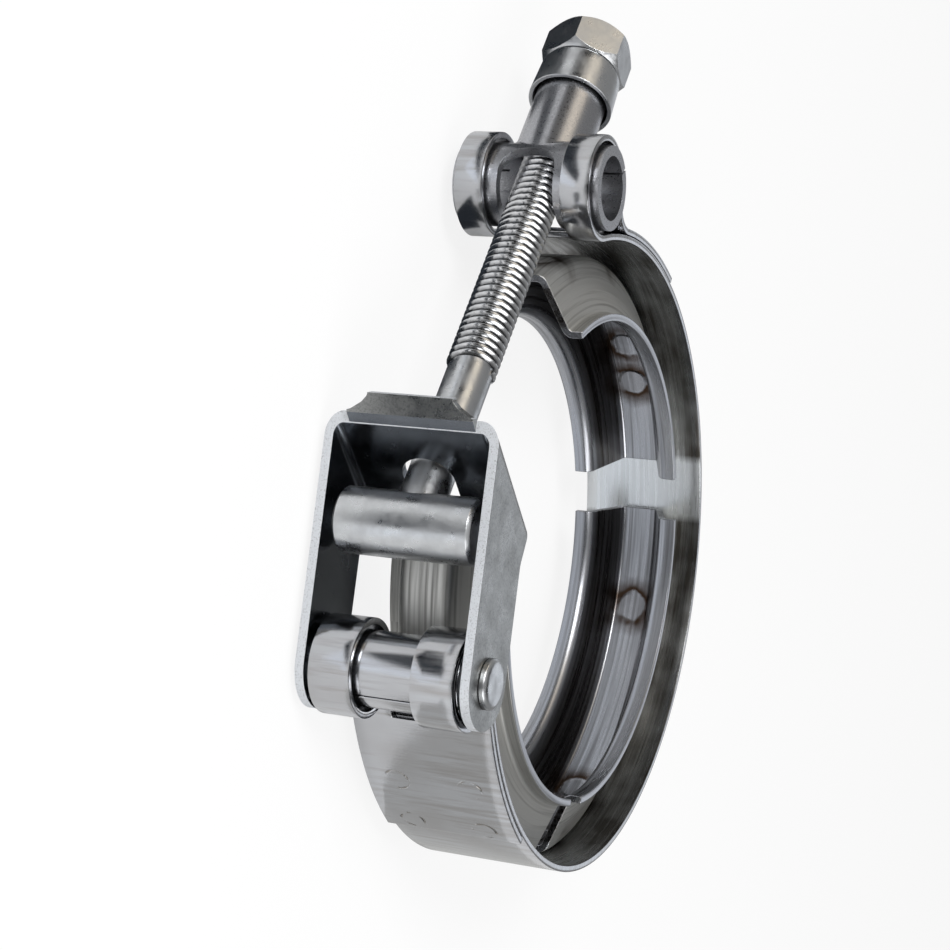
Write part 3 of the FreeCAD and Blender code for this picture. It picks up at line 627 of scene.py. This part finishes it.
def copy_of_node(node, name):
    """Merged copy of a CAD node's mesh with its flat faces made whole."""
    mesh = frame["nodes"][node].data.copy()
    mesh.name = name
    work = bmesh.new()
    work.from_mesh(mesh)
    bmesh.ops.remove_doubles(work, verts=work.verts, dist=2e-6)
    bmesh.ops.dissolve_limit(
        work, angle_limit=math.radians(0.3), verts=work.verts, edges=work.edges)
    work.to_mesh(mesh)
    work.free()
    return smooth(mesh)


def sample_path(arcs, spacing):
    """Points along tangent arcs of (centre, radius, start, end)."""
    points = []
    for centre, radius, start, end in arcs:
        steps = max(3, math.ceil(abs(math.radians(end - start)) * radius / spacing))
        for index in range(steps + 1):
            point = polar(centre, radius, start + (end - start) * index / steps)
            if not points or (point - points[-1]).length > 1e-6:
                points.append(point)
    return points


def trunnion_ease(band):
    """Centre and radius of the wide arc that lifts the strip off the ring to the upper loops.

    The arc leaves the ring on a tangent at LIFT_OFF, and meets the loops on a tangent too.
    """
    ring = band.outer_radius - band.thickness / 2
    loop = band.trunnion_loop - band.thickness / 2
    away = polar(ORIGIN, 1.0, LIFT_OFF)
    reach = TRUNNION_PIVOT.length ** 2 - (ring + loop) ** 2
    extra = reach / (2 * (ring + loop - TRUNNION_PIVOT.dot(away)))
    return away * -extra, ring + extra


def band_path(band):
    """Arcs of the band's middle line, from the latch tail to the trunnion tail."""
    ring = band.outer_radius - band.thickness / 2
    step = band.thickness + band.layer_gap
    pivot = LATCH_PIVOT
    loop = band.latch_loop - band.thickness / 2
    turn = 0.0025
    relief = 0.025
    bend = circles_meet(ORIGIN, ring + step + turn, pivot, loop + turn, 1)
    ease = circles_meet(ORIGIN, ring - relief, pivot, loop + relief, 1)
    bend_start = angle_of(ORIGIN, bend) % 360
    ring_start = angle_of(ORIGIN, ease) % 360
    arcs = [
        (ORIGIN, ring + step, LATCH_TAIL_END, bend_start),
        (bend, turn, bend_start - 180, angle_of(bend, pivot) % 360),
        (pivot, loop, angle_of(pivot, bend) % 360, angle_of(pivot, ease) % 360 - 360),
        (ease, relief, angle_of(ease, pivot) % 360, ring_start),
        (ORIGIN, ring, ring_start, LIFT_OFF + 360),
    ]
    pivot = TRUNNION_PIVOT
    loop = band.trunnion_loop - band.thickness / 2
    turn = 0.005
    ease, ease_radius = trunnion_ease(band)
    bend = circles_meet(ease, ease_radius + step + turn, pivot, loop + turn, -1)
    loop_end = angle_of(pivot, bend)
    tail_start = angle_of(ease, bend)
    return arcs + [
        (ease, ease_radius, LIFT_OFF, angle_of(ease, pivot)),
        (pivot, loop, angle_of(pivot, ease) % 360, loop_end),
        (bend, turn, loop_end + 180, tail_start + 180),
        (ease, ease_radius + step, tail_start, TRUNNION_TAIL_END),
    ]


def in_slot(point, band):
    """True where the strip is cut away between a pair of loops, through the loops and the tail."""
    clearance = 0.001
    pivot = TRUNNION_PIVOT
    layer = (band.thickness + band.layer_gap) / 2
    if abs(point.z) < band.trunnion_slot / 2:
        reach = band.trunnion_loop + clearance
        loop_slot_end = pivot.x + 0.0034
        tail_slot_end = pivot.x + 0.013
        tail_slot_foot = pivot.y - reach - 0.002
        near = abs(point.y - pivot.y) < reach and pivot.x - reach < point.x < loop_slot_end
        ease, ease_radius = trunnion_ease(band)
        in_tail = math.hypot(point.x - ease.x, point.y - ease.y) > ease_radius + layer
        if near or (in_tail and point.y > tail_slot_foot and pivot.x < point.x < tail_slot_end):
            return True
    pivot = LATCH_PIVOT
    reach = band.latch_loop + clearance
    if abs(point.z) < band.latch_slot / 2 and abs(point.x - pivot.x) < reach:
        ring = band.outer_radius - band.thickness / 2
        in_tail = math.hypot(point.x, point.y) > ring + layer
        loop_slot_end = pivot.y - 0.0025
        tail_slot_end = pivot.y - 0.0095
        if loop_slot_end < point.y < pivot.y + reach:
            return True
        if in_tail and tail_slot_end < point.y < pivot.y:
            return True
    return False


def strip_mesh(band):
    """Thick strip with rounded edges that follows the band's path, slots cut."""
    path = sample_path(band_path(band), 0.0006)
    half = band.width / 2
    levels = {half, half * 0.8, band.trunnion_slot / 2, band.latch_slot / 2, 0.002, 0.0}
    levels = sorted({-level for level in levels} | levels)
    work = bmesh.new()
    rows = [[work.verts.new(point + UP * level) for level in levels] for point in path]
    for first, second in zip(rows, rows[1:]):
        for index in range(len(levels) - 1):
            corners = (first[index], second[index], second[index + 1], first[index + 1])
            middle = sum((corner.co for corner in corners), Vector()) / 4
            if not in_slot(middle, band):
                work.faces.new(corners)
    loose = [vert for vert in work.verts if not vert.link_faces]
    bmesh.ops.delete(work, geom=loose, context="VERTS")
    return finished_mesh(mesh_from(work, "band_strip"), [
        ("SOLIDIFY", {"thickness": band.thickness, "offset": 0.0, "use_even_offset": True}),
        ("BEVEL", {"width": band.edge_round, "segments": 2, "limit_method": "ANGLE",
                   "angle_limit": math.radians(50)}),
    ])


def offset_sides(points, distance):
    """Points of an open line moved to its left and to its right, square to its run there."""
    left = []
    right = []
    for index, point in enumerate(points):
        before = points[max(index - 1, 0)]
        after = points[min(index + 1, len(points) - 1)]
        way = (after - before).normalized()
        normal = Vector((-way.y, way.x))
        left.append(point + normal * distance)
        right.append(point - normal * distance)
    return left, right


def mitred(points, distance):
    """Open line of straight runs moved to its left, its corners still on the mitres."""
    moved = []
    for index, point in enumerate(points):
        ways = []
        if index > 0:
            ways.append((point - points[index - 1]).normalized())
        if index < len(points) - 1:
            ways.append((points[index + 1] - point).normalized())
        mitre = sum((Vector((-way.y, way.x)) for way in ways), Vector((0.0, 0.0)))
        moved.append(point + mitre * (len(ways) * distance / mitre.length ** 2))
    return moved


def rounded(before, corner, after, radius, steps=6):
    """Arc of points that rounds one corner of a line."""
    to_before = (before - corner).normalized()
    to_after = (after - corner).normalized()
    half_angle = to_before.angle(to_after) / 2
    reach = radius / math.tan(half_angle)
    centre = corner + (to_before + to_after).normalized() * (radius / math.sin(half_angle))
    start = corner + to_before * reach - centre
    end = corner + to_after * reach - centre
    sweep = start.angle_signed(end)
    return [centre + Matrix.Rotation(-sweep * step / steps, 2) @ start for step in range(steps + 1)]


def retainer_section(band):
    """Closed V section with rounded bends, as (distance out from the lips, height) points."""
    lip_height = 0.0096
    mouth_height = 0.0067
    floor_height = 0.0031
    bend_radius = 0.0013
    floor = band.floor_radius - band.lip_radius
    half_line = [(0.0, lip_height), (0.0, mouth_height), (floor, floor_height)]
    line = half_line + [(out, -height) for out, height in reversed(half_line)]
    half = band.retainer_thickness / 2
    line = mitred([Vector(point) for point in line], half)
    middle = [line[0]]
    for before, corner, after in zip(line, line[1:], line[2:]):
        middle += rounded(before, corner, after, bend_radius)
    middle.append(line[-1])
    left, right = offset_sides(middle, half)
    return left + right[::-1]


def new_tree(name, inputs):
    """Geometry Nodes tree with named inputs, and the sockets that hold them."""
    tree = bpy.data.node_groups.new(name, "GeometryNodeTree")
    for title, kind in inputs:
        tree.interface.new_socket(title, in_out="INPUT", socket_type="NodeSocket" + kind)
    tree.interface.new_socket("Geometry", in_out="OUTPUT", socket_type="NodeSocketGeometry")
    return tree, add_node(tree, "NodeGroupInput").outputs


def sweep_section(tree, given, curve):
    """Sweep the given section along a curve, close its ends and set its finish."""
    shape = add_node(tree, "GeometryNodeObjectInfo", {"Object": given["Section"]})
    swept = add_node(tree, "GeometryNodeCurveToMesh", {
        "Curve": curve, "Profile Curve": shape.outputs["Geometry"], "Fill Caps": True})
    solid = add_node(tree, "GeometryNodeRealizeInstances", {"Geometry": swept.outputs["Mesh"]})
    painted = add_node(tree, "GeometryNodeSetMaterial", {
        "Geometry": solid.outputs["Geometry"], "Material": given["Finish"]})
    add_node(tree, "NodeGroupOutput", {"Geometry": painted.outputs["Geometry"]})


def arc_tree():
    """Geometry Nodes that sweep a section along an arc of the ring."""
    tree, given = new_tree("swept_arc", (
        ("Section", "Object"), ("Radius", "Float"), ("Start Angle", "Float"),
        ("Sweep Angle", "Float"), ("Steps", "Int"), ("Finish", "Material")))
    arc = add_node(tree, "GeometryNodeCurveArc", {
        "Resolution": given["Steps"], "Radius": given["Radius"],
        "Start Angle": given["Start Angle"], "Sweep Angle": given["Sweep Angle"]})
    sweep_section(tree, given, arc.outputs["Curve"])
    return tree


def baked(tree, inputs):
    """Plain mesh from a Geometry Nodes tree, its inputs given by name."""
    holder = bpy.data.objects.new("holder", bpy.data.meshes.new("holder"))
    bpy.context.scene.collection.objects.link(holder)
    modifier = holder.modifiers.new("rule", "NODES")
    modifier.node_group = tree
    for item in tree.interface.items_tree:
        if item.in_out == "INPUT" and item.name in inputs:
            modifier[item.identifier] = inputs[item.name]
    shown = holder.evaluated_get(bpy.context.evaluated_depsgraph_get())
    mesh = bpy.data.meshes.new_from_object(shown)
    holder.modifiers.remove(modifier)
    bpy.data.objects.remove(holder)
    if not mesh.polygons:
        raise RuntimeError("the node tree %s made no faces" % tree.name)
    return mesh


def poly_curve(name, points):
    """Curve object with one closed, straight-sided spline."""
    curve = bpy.data.curves.new(name, "CURVE")
    curve.dimensions = "3D"
    spline = curve.splines.new("POLY")
    spline.points.add(len(points) - 1)
    for slot, point in zip(spline.points, points):
        slot.co = (point[0], point[1], 0.0, 1.0)
    spline.use_cyclic_u = True
    made = bpy.data.objects.new(name, curve)
    bpy.context.scene.collection.objects.link(made)
    return made


def recalculated(mesh, merge=1e-6):
    """Merge doubles and point the faces outwards."""
    work = bmesh.new()
    work.from_mesh(mesh)
    bmesh.ops.remove_doubles(work, verts=work.verts, dist=merge)
    bmesh.ops.recalc_face_normals(work, faces=work.faces)
    work.to_mesh(mesh)
    work.free()
    return mesh


def lathe_mesh(name, profile, steps=72):
    """Closed solid turned about +Z from (radius, height) points, the first and last on the axis."""
    work = bmesh.new()
    rings = []
    for radius, height in profile:
        if radius < 1e-7:
            rings.append([work.verts.new((0.0, 0.0, height))])
            continue
        ring = []
        for index in range(steps):
            turn = 2 * math.pi * index / steps
            ring.append(work.verts.new((radius * math.cos(turn), radius * math.sin(turn), height)))
        rings.append(ring)
    for lower, upper in zip(rings, rings[1:]):
        for index in range(steps):
            after = (index + 1) % steps
            corners = [lower[index % len(lower)], lower[after % len(lower)],
                       upper[after % len(upper)], upper[index % len(upper)]]
            corners = list(dict.fromkeys(corners))
            if len(corners) > 2:
                work.faces.new(corners)
    bmesh.ops.recalc_face_normals(work, faces=work.faces)
    return mesh_from(work, name)


def thread_tree():
    """Geometry Nodes that wind a thread's ridge round the bolt at a given pitch."""
    tree, given = new_tree("rolled_thread", (
        ("Section", "Object"), ("Radius", "Float"), ("Length", "Float"), ("Turns", "Float"),
        ("Steps", "Int"), ("Finish", "Material")))
    spiral = add_node(tree, "GeometryNodeCurveSpiral", {
        "Resolution": given["Steps"], "Rotations": given["Turns"], "Start Radius": given["Radius"],
        "End Radius": given["Radius"], "Height": given["Length"], "Reverse": True})
    upright = add_node(
        tree, "GeometryNodeSetCurveNormal", {"Curve": spiral.outputs["Curve"]}, mode="Z_UP")
    sweep_section(tree, given, upright.outputs["Curve"])
    return tree


class CLAMP_OT_band(bpy.types.Operator):
    """Make the band with its loops"""
    bl_idname = "clamp.band"
    bl_label = "Band"

    def execute(self, context):
        band = context.scene.v_band_clamp.band
        mesh = smooth(recalculated(strip_mesh(band), 1e-7), 40.0)
        finishes = ["polished_stainless_sheet", "band_inside"]
        piece = show_piece("sheet_band", mesh, finishes, "band")
        ring_reach = band.outer_radius - band.thickness / 2 + 0.002
        for face in piece.data.polygons:
            away = Vector((face.center.x, face.center.y, 0.0))
            inward = face.normal.dot(away.normalized()) < -0.8
            face.material_index = 1 if inward and away.length < ring_reach else 0
        return {"FINISHED"}


class CLAMP_OT_retainers(bpy.types.Operator):
    """Make the three rolled V retainers"""
    bl_idname = "clamp.retainers"
    bl_label = "Retainers"

    def execute(self, context):
        band = context.scene.v_band_clamp.band
        section = poly_curve("section", retainer_section(band))
        tree = arc_tree()
        for node, (start, end) in RETAINER_SPANS.items():
            mesh = baked(tree, {
                "Section": section, "Radius": band.lip_radius, "Start Angle": math.radians(start),
                "Sweep Angle": math.radians(end - start),
                "Steps": int((end - start) * STEPS_PER_DEGREE),
                "Finish": material_for("rolled_groove")})
            mesh = smooth(recalculated(mesh), 40.0)
            finishes = ["rolled_groove", "rolled_back"]
            piece = show_piece("v_" + node, mesh, finishes, node)
            for face in piece.data.polygons:
                away = Vector((face.center.x, face.center.y, 0.0)).normalized()
                face.material_index = 1 if face.normal.dot(away) > 0.1 else 0
            soften(piece, 0.00012, 2, 50.0)
        bpy.data.objects.remove(section)
        return {"FINISHED"}


class CLAMP_OT_latch(bpy.types.Operator):
    """Make the lever, its pin and the bush round the pin"""
    bl_idname = "clamp.latch"
    bl_label = "Latch"

    def execute(self, context):
        mesh = copy_of_node("lever", "folded_lever")
        finishes = ["zinc_coated_stamping", "sheared_edge", "stamping_inside"]
        piece = show_piece("folded_lever", mesh, finishes, "lever")
        web_way = (WEB_FRONT - WEB_BACK).normalized()
        web_out = Vector((web_way.y, -web_way.x, 0.0))
        plate_inside = 0.0121
        web_depth = 0.004
        for face in mesh.polygons:
            out = face.normal.dot(web_out)
            side = face.normal.z
            below = (WEB_BACK - face.center).dot(web_out)
            cut = abs(side) < 0.3 and abs(out) < 0.72
            rim = abs(side) < 0.45 and abs(face.center.z) > plate_inside and below > web_depth
            # Faces turned in between the plates and under the web get the darker finish, which is
            # painted shade.
            inner = side * face.center.z < 0.0 and abs(side) > 0.3 or out < -0.9
            face.material_index = 1 if cut or rim else 2 if inner else 0
        soften(piece, 0.00016)
        dress("latch_pin", "latch_rivet", "turned_steel", 0.00012)
        dress("latch_bush", "rolled_bush", "polished_stainless_sheet", 0.00012)
        return {"FINISHED"}


class CLAMP_OT_bolt(bpy.types.Operator):
    """Make the bolt with its thread, and its barrel"""
    bl_idname = "clamp.bolt"
    bl_label = "Bolt"

    def execute(self, context):
        bolt = context.scene.v_band_clamp.bolt
        shank = bolt.shank_radius
        root = bolt.root_radius
        chamfer = 0.0005
        core = lathe_mesh("bolt_core", [
            (0.0, -bolt.foot), (shank - chamfer, -bolt.foot), (shank, -bolt.foot + chamfer),
            (shank, bolt.thread_start - 0.0004), (shank - 0.0001, bolt.thread_start),
            (root, bolt.thread_start + 0.0006), (root, bolt.top - 0.0002),
            (root - 0.0003, bolt.top), (0.0, bolt.top)])
        plain_top = 0.0012
        run = bolt.top - bolt.thread_start - plain_top
        depth = bolt.crest_radius - root
        half = bolt.pitch / 2
        crest = bolt.pitch * 0.09
        sunk = 0.00015
        flank = [(-sunk, half * 0.96), (0.0, half * 0.86),
                 (depth * 0.86, crest * 1.3), (depth, crest * 0.4)]
        other_flank = [(out, -along) for out, along in flank]
        ridge = poly_curve("ridge", other_flank + flank[::-1])
        thread = baked(thread_tree(), {
            "Section": ridge, "Radius": root, "Length": run, "Turns": run / bolt.pitch,
            "Steps": bolt.turn_steps, "Finish": material_for("rolled_thread_steel")})
        thread.transform(Matrix.Translation(UP * (bolt.thread_start + 0.0002)))
        bpy.data.objects.remove(ridge)
        work = bmesh.new()
        work.from_mesh(core)
        count = len(work.faces)
        work.from_mesh(recalculated(thread))
        mesh = mesh_from(work, "t_bolt_threaded")
        side = BOLT_WAY.cross(UP)
        turn = Matrix((UP, side, BOLT_WAY)).transposed()
        mesh.transform(Matrix.Translation(BARREL_CENTRE) @ turn.to_4x4())
        smooth(mesh, 32.0)
        finishes = ["turned_steel", "rolled_thread_steel"]
        piece = show_piece("threaded_bolt", mesh, finishes, "t_bolt")
        for face in piece.data.polygons[count:]:
            face.material_index = 1
        dress("bolt_barrel", "cross_barrel", "turned_steel", 0.0001)
        return {"FINISHED"}


class CLAMP_OT_trunnion(bpy.types.Operator):
    """Make the trunnion"""
    bl_idname = "clamp.trunnion"
    bl_label = "Trunnion"

    def execute(self, context):
        dress("trunnion", "drawn_trunnion", "dark_chrome", 0.00025, 3)
        return {"FINISHED"}


class CLAMP_OT_nut(bpy.types.Operator):
    """Make the nut and the cup washer under it"""
    bl_idname = "clamp.nut"
    bl_label = "Nut"

    def execute(self, context):
        dress("nut", "hexagon_nut", "turned_steel", 0.0002)
        dress("cup_washer", "cup_washer_shell", "turned_steel", 0.00012)
        return {"FINISHED"}


def flat_sheet(name, placement, material):
    """Flat square of the stage, 1 m wide before its placement."""
    work = bmesh.new()
    bmesh.ops.create_grid(work, x_segments=1, y_segments=1, size=0.5)
    work.transform(placement)
    made = bpy.data.objects.new(name, mesh_from(work, name))
    bpy.context.scene.collection.objects.link(made)
    made.data.materials.append(material)
    made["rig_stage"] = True
    return made


def card(name, centre, facing, size, colour, strength):
    """Flat studio card that the metal mirrors and the camera does not see."""
    material = new_material(name)
    glow = add_node(material.node_tree, "ShaderNodeEmission", {"Color": colour, "Strength": strength})
    add_node(material.node_tree, "ShaderNodeOutputMaterial", {"Surface": glow.outputs[0]})
    turn = (facing - centre).to_track_quat("Z", "Y").to_matrix().to_4x4()
    scale = Matrix.Diagonal((size[0], size[1], 1.0, 1.0))
    made = flat_sheet(name, Matrix.Translation(centre) @ turn @ scale, material)
    made.visible_camera = False
    made.visible_diffuse = False
    made.visible_shadow = False


def shown_rays(tree):
    """Kinds of ray, and 1 for the rays that look straight at a surface or through glass."""
    ray = add_node(tree, "ShaderNodeLightPath").outputs
    seen = add_node(tree, "ShaderNodeMath", {
        0: ray["Is Camera Ray"], 1: ray["Is Transmission Ray"]}, operation="MAXIMUM")
    return ray, seen.outputs[0]


def make_floor(stage, lowest):
    """Pale floor that keeps the clamp's shadow, with a glow for the camera and in the metal."""
    material = new_material("pale_floor")
    tree = material.node_tree
    paint = add_node(tree, "ShaderNodeBsdfDiffuse", {"Color": tuple(stage.floor_colour)})
    glow = add_node(tree, "ShaderNodeEmission", {"Color": hex_colour("#FFFFFF"), "Strength": 1.0})
    ray, seen = shown_rays(tree)
    seen = add_node(tree, "ShaderNodeMath", {0: seen, 1: 0.85}, operation="MULTIPLY").outputs[0]
    share = add_node(tree, "ShaderNodeMath", {
        0: ray["Is Glossy Ray"], 1: stage.mirrored, 2: seen}, operation="MULTIPLY_ADD").outputs[0]
    mixed = add_node(tree, "ShaderNodeMixShader", {
        0: share, 1: paint.outputs[0], 2: glow.outputs[0]})
    add_node(tree, "ShaderNodeOutputMaterial", {"Surface": mixed.outputs[0]})
    width = Matrix.Diagonal((FLOOR_WIDTH, FLOOR_WIDTH, 1.0, 1.0))
    flat_sheet("floor", Matrix.Translation((0.0, 0.0, lowest - stage.distance)) @ width, material)


def make_world(scene, stage):
    """White backdrop for the camera, dimmer as light and in the metal."""
    world = bpy.data.worlds.new("studio")
    scene.world = world
    world.use_nodes = True
    tree = world.node_tree
    tree.nodes.clear()
    ray, seen = shown_rays(tree)
    lit = add_node(tree, "ShaderNodeMapRange", {
        0: seen, 1: 0.0, 2: 1.0, 3: stage.ambient, 4: 1.0}).outputs[0]
    strength = add_node(tree, "ShaderNodeMath", {
        0: ray["Is Glossy Ray"], 1: stage.mirrored - stage.ambient, 2: lit},
        operation="MULTIPLY_ADD").outputs[0]
    sky = add_node(tree, "ShaderNodeBackground", {
        "Color": hex_colour("#FFFFFF"), "Strength": strength})
    add_node(tree, "ShaderNodeOutputWorld", {"Surface": sky.outputs[0]})


def make_cards(lowest, centre):
    """Cards just above the floor and round the stage, for the metal to mirror."""
    dark = hex_colour("#0E0F11")
    slate = hex_colour("#3C4148")
    warm = hex_colour("#FFF1DC")
    cool = hex_colour("#F1F5FB")
    plain = hex_colour("#F2F2F0")
    low = lowest + 0.0008
    for name, place, size, colour, strength in (
            ("white_card_in_ring", (0.012, -0.008), (0.052, 0.024), cool, 0.95),
            ("white_card_at_loops", (-0.045, 0.076), (0.06, 0.012), cool, 1.3),
            ("white_card_at_latch", (-0.098, 0.013), (0.05, 0.013), cool, 1.3),
            ("dark_card_in_ring", (-0.025, 0.016), (0.022, 0.05), slate, 0.5),
            ("dark_card_at_loops", (-0.04, 0.104), (0.1, 0.034), slate, 0.9),
            ("dark_card_at_latch", (-0.1, 0.04), (0.06, 0.034), slate, 0.9),
            ("dark_card_at_bolt", (-0.017, 0.045), (0.026, 0.02), slate, 0.8),
            ("dark_card_at_nut", (0.036, 0.095), (0.05, 0.04), slate, 0.6),
            ("grey_card_below", (-0.055, -0.066), (0.19, 0.06), plain, 0.68)):
        spot = Vector((*place, low))
        card(name, spot, spot + UP, size, colour, strength)
    for name, place, size, colour, strength in (
            ("flag_top", (-0.05, 0.6, 0.1), (0.7, 0.22), dark, 1.0),
            ("flag_behind_camera", (-0.7, 0.1, 0.3), (0.3, 0.7), dark, 1.0),
            ("flag_low", (-0.15, -0.45, 0.1), (0.5, 0.25), slate, 1.0),
            ("flag_overhead", (0.24, -0.09, 0.45), (0.36, 0.36), dark, 1.0),
            ("soft_box_top", (0.0, 0.5, 0.34), (0.5, 0.22), warm, 1.5),
            ("soft_box_right", (0.55, -0.2, 0.35), (0.35, 0.45), cool, 1.1),
            ("soft_box_far", (0.6, 0.12, 0.05), (0.3, 0.22), cool, 0.9)):
        card(name, Vector(place), centre, size, colour, strength)


def make_lamps(scene, stage, centre):
    """Large key lamp from above the nut, and a fill from the lever's side."""
    for name, power, place, size in (
            ("key", stage.key_power, Vector((-0.45, 0.55, 0.5)), 0.35),
            ("fill", stage.fill_power, Vector((-0.5, -0.35, 0.4)), 0.5)):
        lamp = bpy.data.lights.new(name, "AREA")
        lamp.energy = power
        lamp.size = size
        made = bpy.data.objects.new(name, lamp)
        scene.collection.objects.link(made)
        made.location = place
        made.rotation_mode = "QUATERNION"
        made.rotation_quaternion = (place - centre).to_track_quat("Z", "Y")


def make_camera(scene, stage):
    """Camera at the photograph's viewing angle."""
    camera = bpy.data.cameras.new("camera")
    camera.lens = stage.lens
    camera.sensor_width = 36.0
    camera.clip_start = 0.01
    camera.clip_end = 50.0
    made = bpy.data.objects.new("camera", camera)
    scene.collection.objects.link(made)
    back = CAMERA_RIGHT.cross(CAMERA_UP)
    turn = Matrix((CAMERA_RIGHT, CAMERA_UP, back)).transposed()
    made.matrix_world = Matrix.Translation(CAMERA_PLACE) @ turn.to_4x4()
    scene.camera = made


class CLAMP_OT_stage(bpy.types.Operator):
    """Make the floor, the lamps, the cards and the camera"""
    bl_idname = "clamp.stage"
    bl_label = "Stage"

    def execute(self, context):
        scene = context.scene
        stage = scene.v_band_clamp.stage
        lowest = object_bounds()[0].z
        centre = Vector((-0.02, 0.02, 0.0))
        make_floor(stage, lowest)
        make_world(scene, stage)
        make_cards(lowest, centre)
        make_lamps(scene, stage, centre)
        make_camera(scene, stage)
        scene.view_settings.view_transform = "Standard"
        return {"FINISHED"}


class CLAMP_PT_panel(bpy.types.Panel):
    """Lists the clamp's pieces"""
    bl_idname = "CLAMP_PT_panel"
    bl_label = "V Band Clamp"
    bl_space_type = "VIEW_3D"
    bl_region_type = "UI"
    bl_category = "Clamp"

    def draw(self, context):
        for operator in OPERATORS:
            self.layout.operator(operator.bl_idname)


OPERATORS = (CLAMP_OT_band, CLAMP_OT_retainers, CLAMP_OT_latch, CLAMP_OT_bolt, CLAMP_OT_trunnion,
             CLAMP_OT_nut, CLAMP_OT_stage)
CLASSES = (BandSizes, BoltSizes, FinishColours, StageSettings, ClampSettings, *OPERATORS,
           CLAMP_PT_panel)


def register():
    """Register the classes and the scene's settings."""
    for made in CLASSES:
        bpy.utils.register_class(made)
    bpy.types.Scene.v_band_clamp = bpy.props.PointerProperty(type=ClampSettings)


def unregister():
    """Remove the settings and the classes."""
    del bpy.types.Scene.v_band_clamp
    for made in reversed(CLASSES):
        bpy.utils.unregister_class(made)


def main():
    """Build every piece and the stage."""
    register()
    bpy.ops.clamp.band()
    bpy.ops.clamp.retainers()
    bpy.ops.clamp.latch()
    bpy.ops.clamp.bolt()
    bpy.ops.clamp.trunnion()
    bpy.ops.clamp.nut()
    bpy.ops.clamp.stage()


if __name__ == "__main__":
    main()
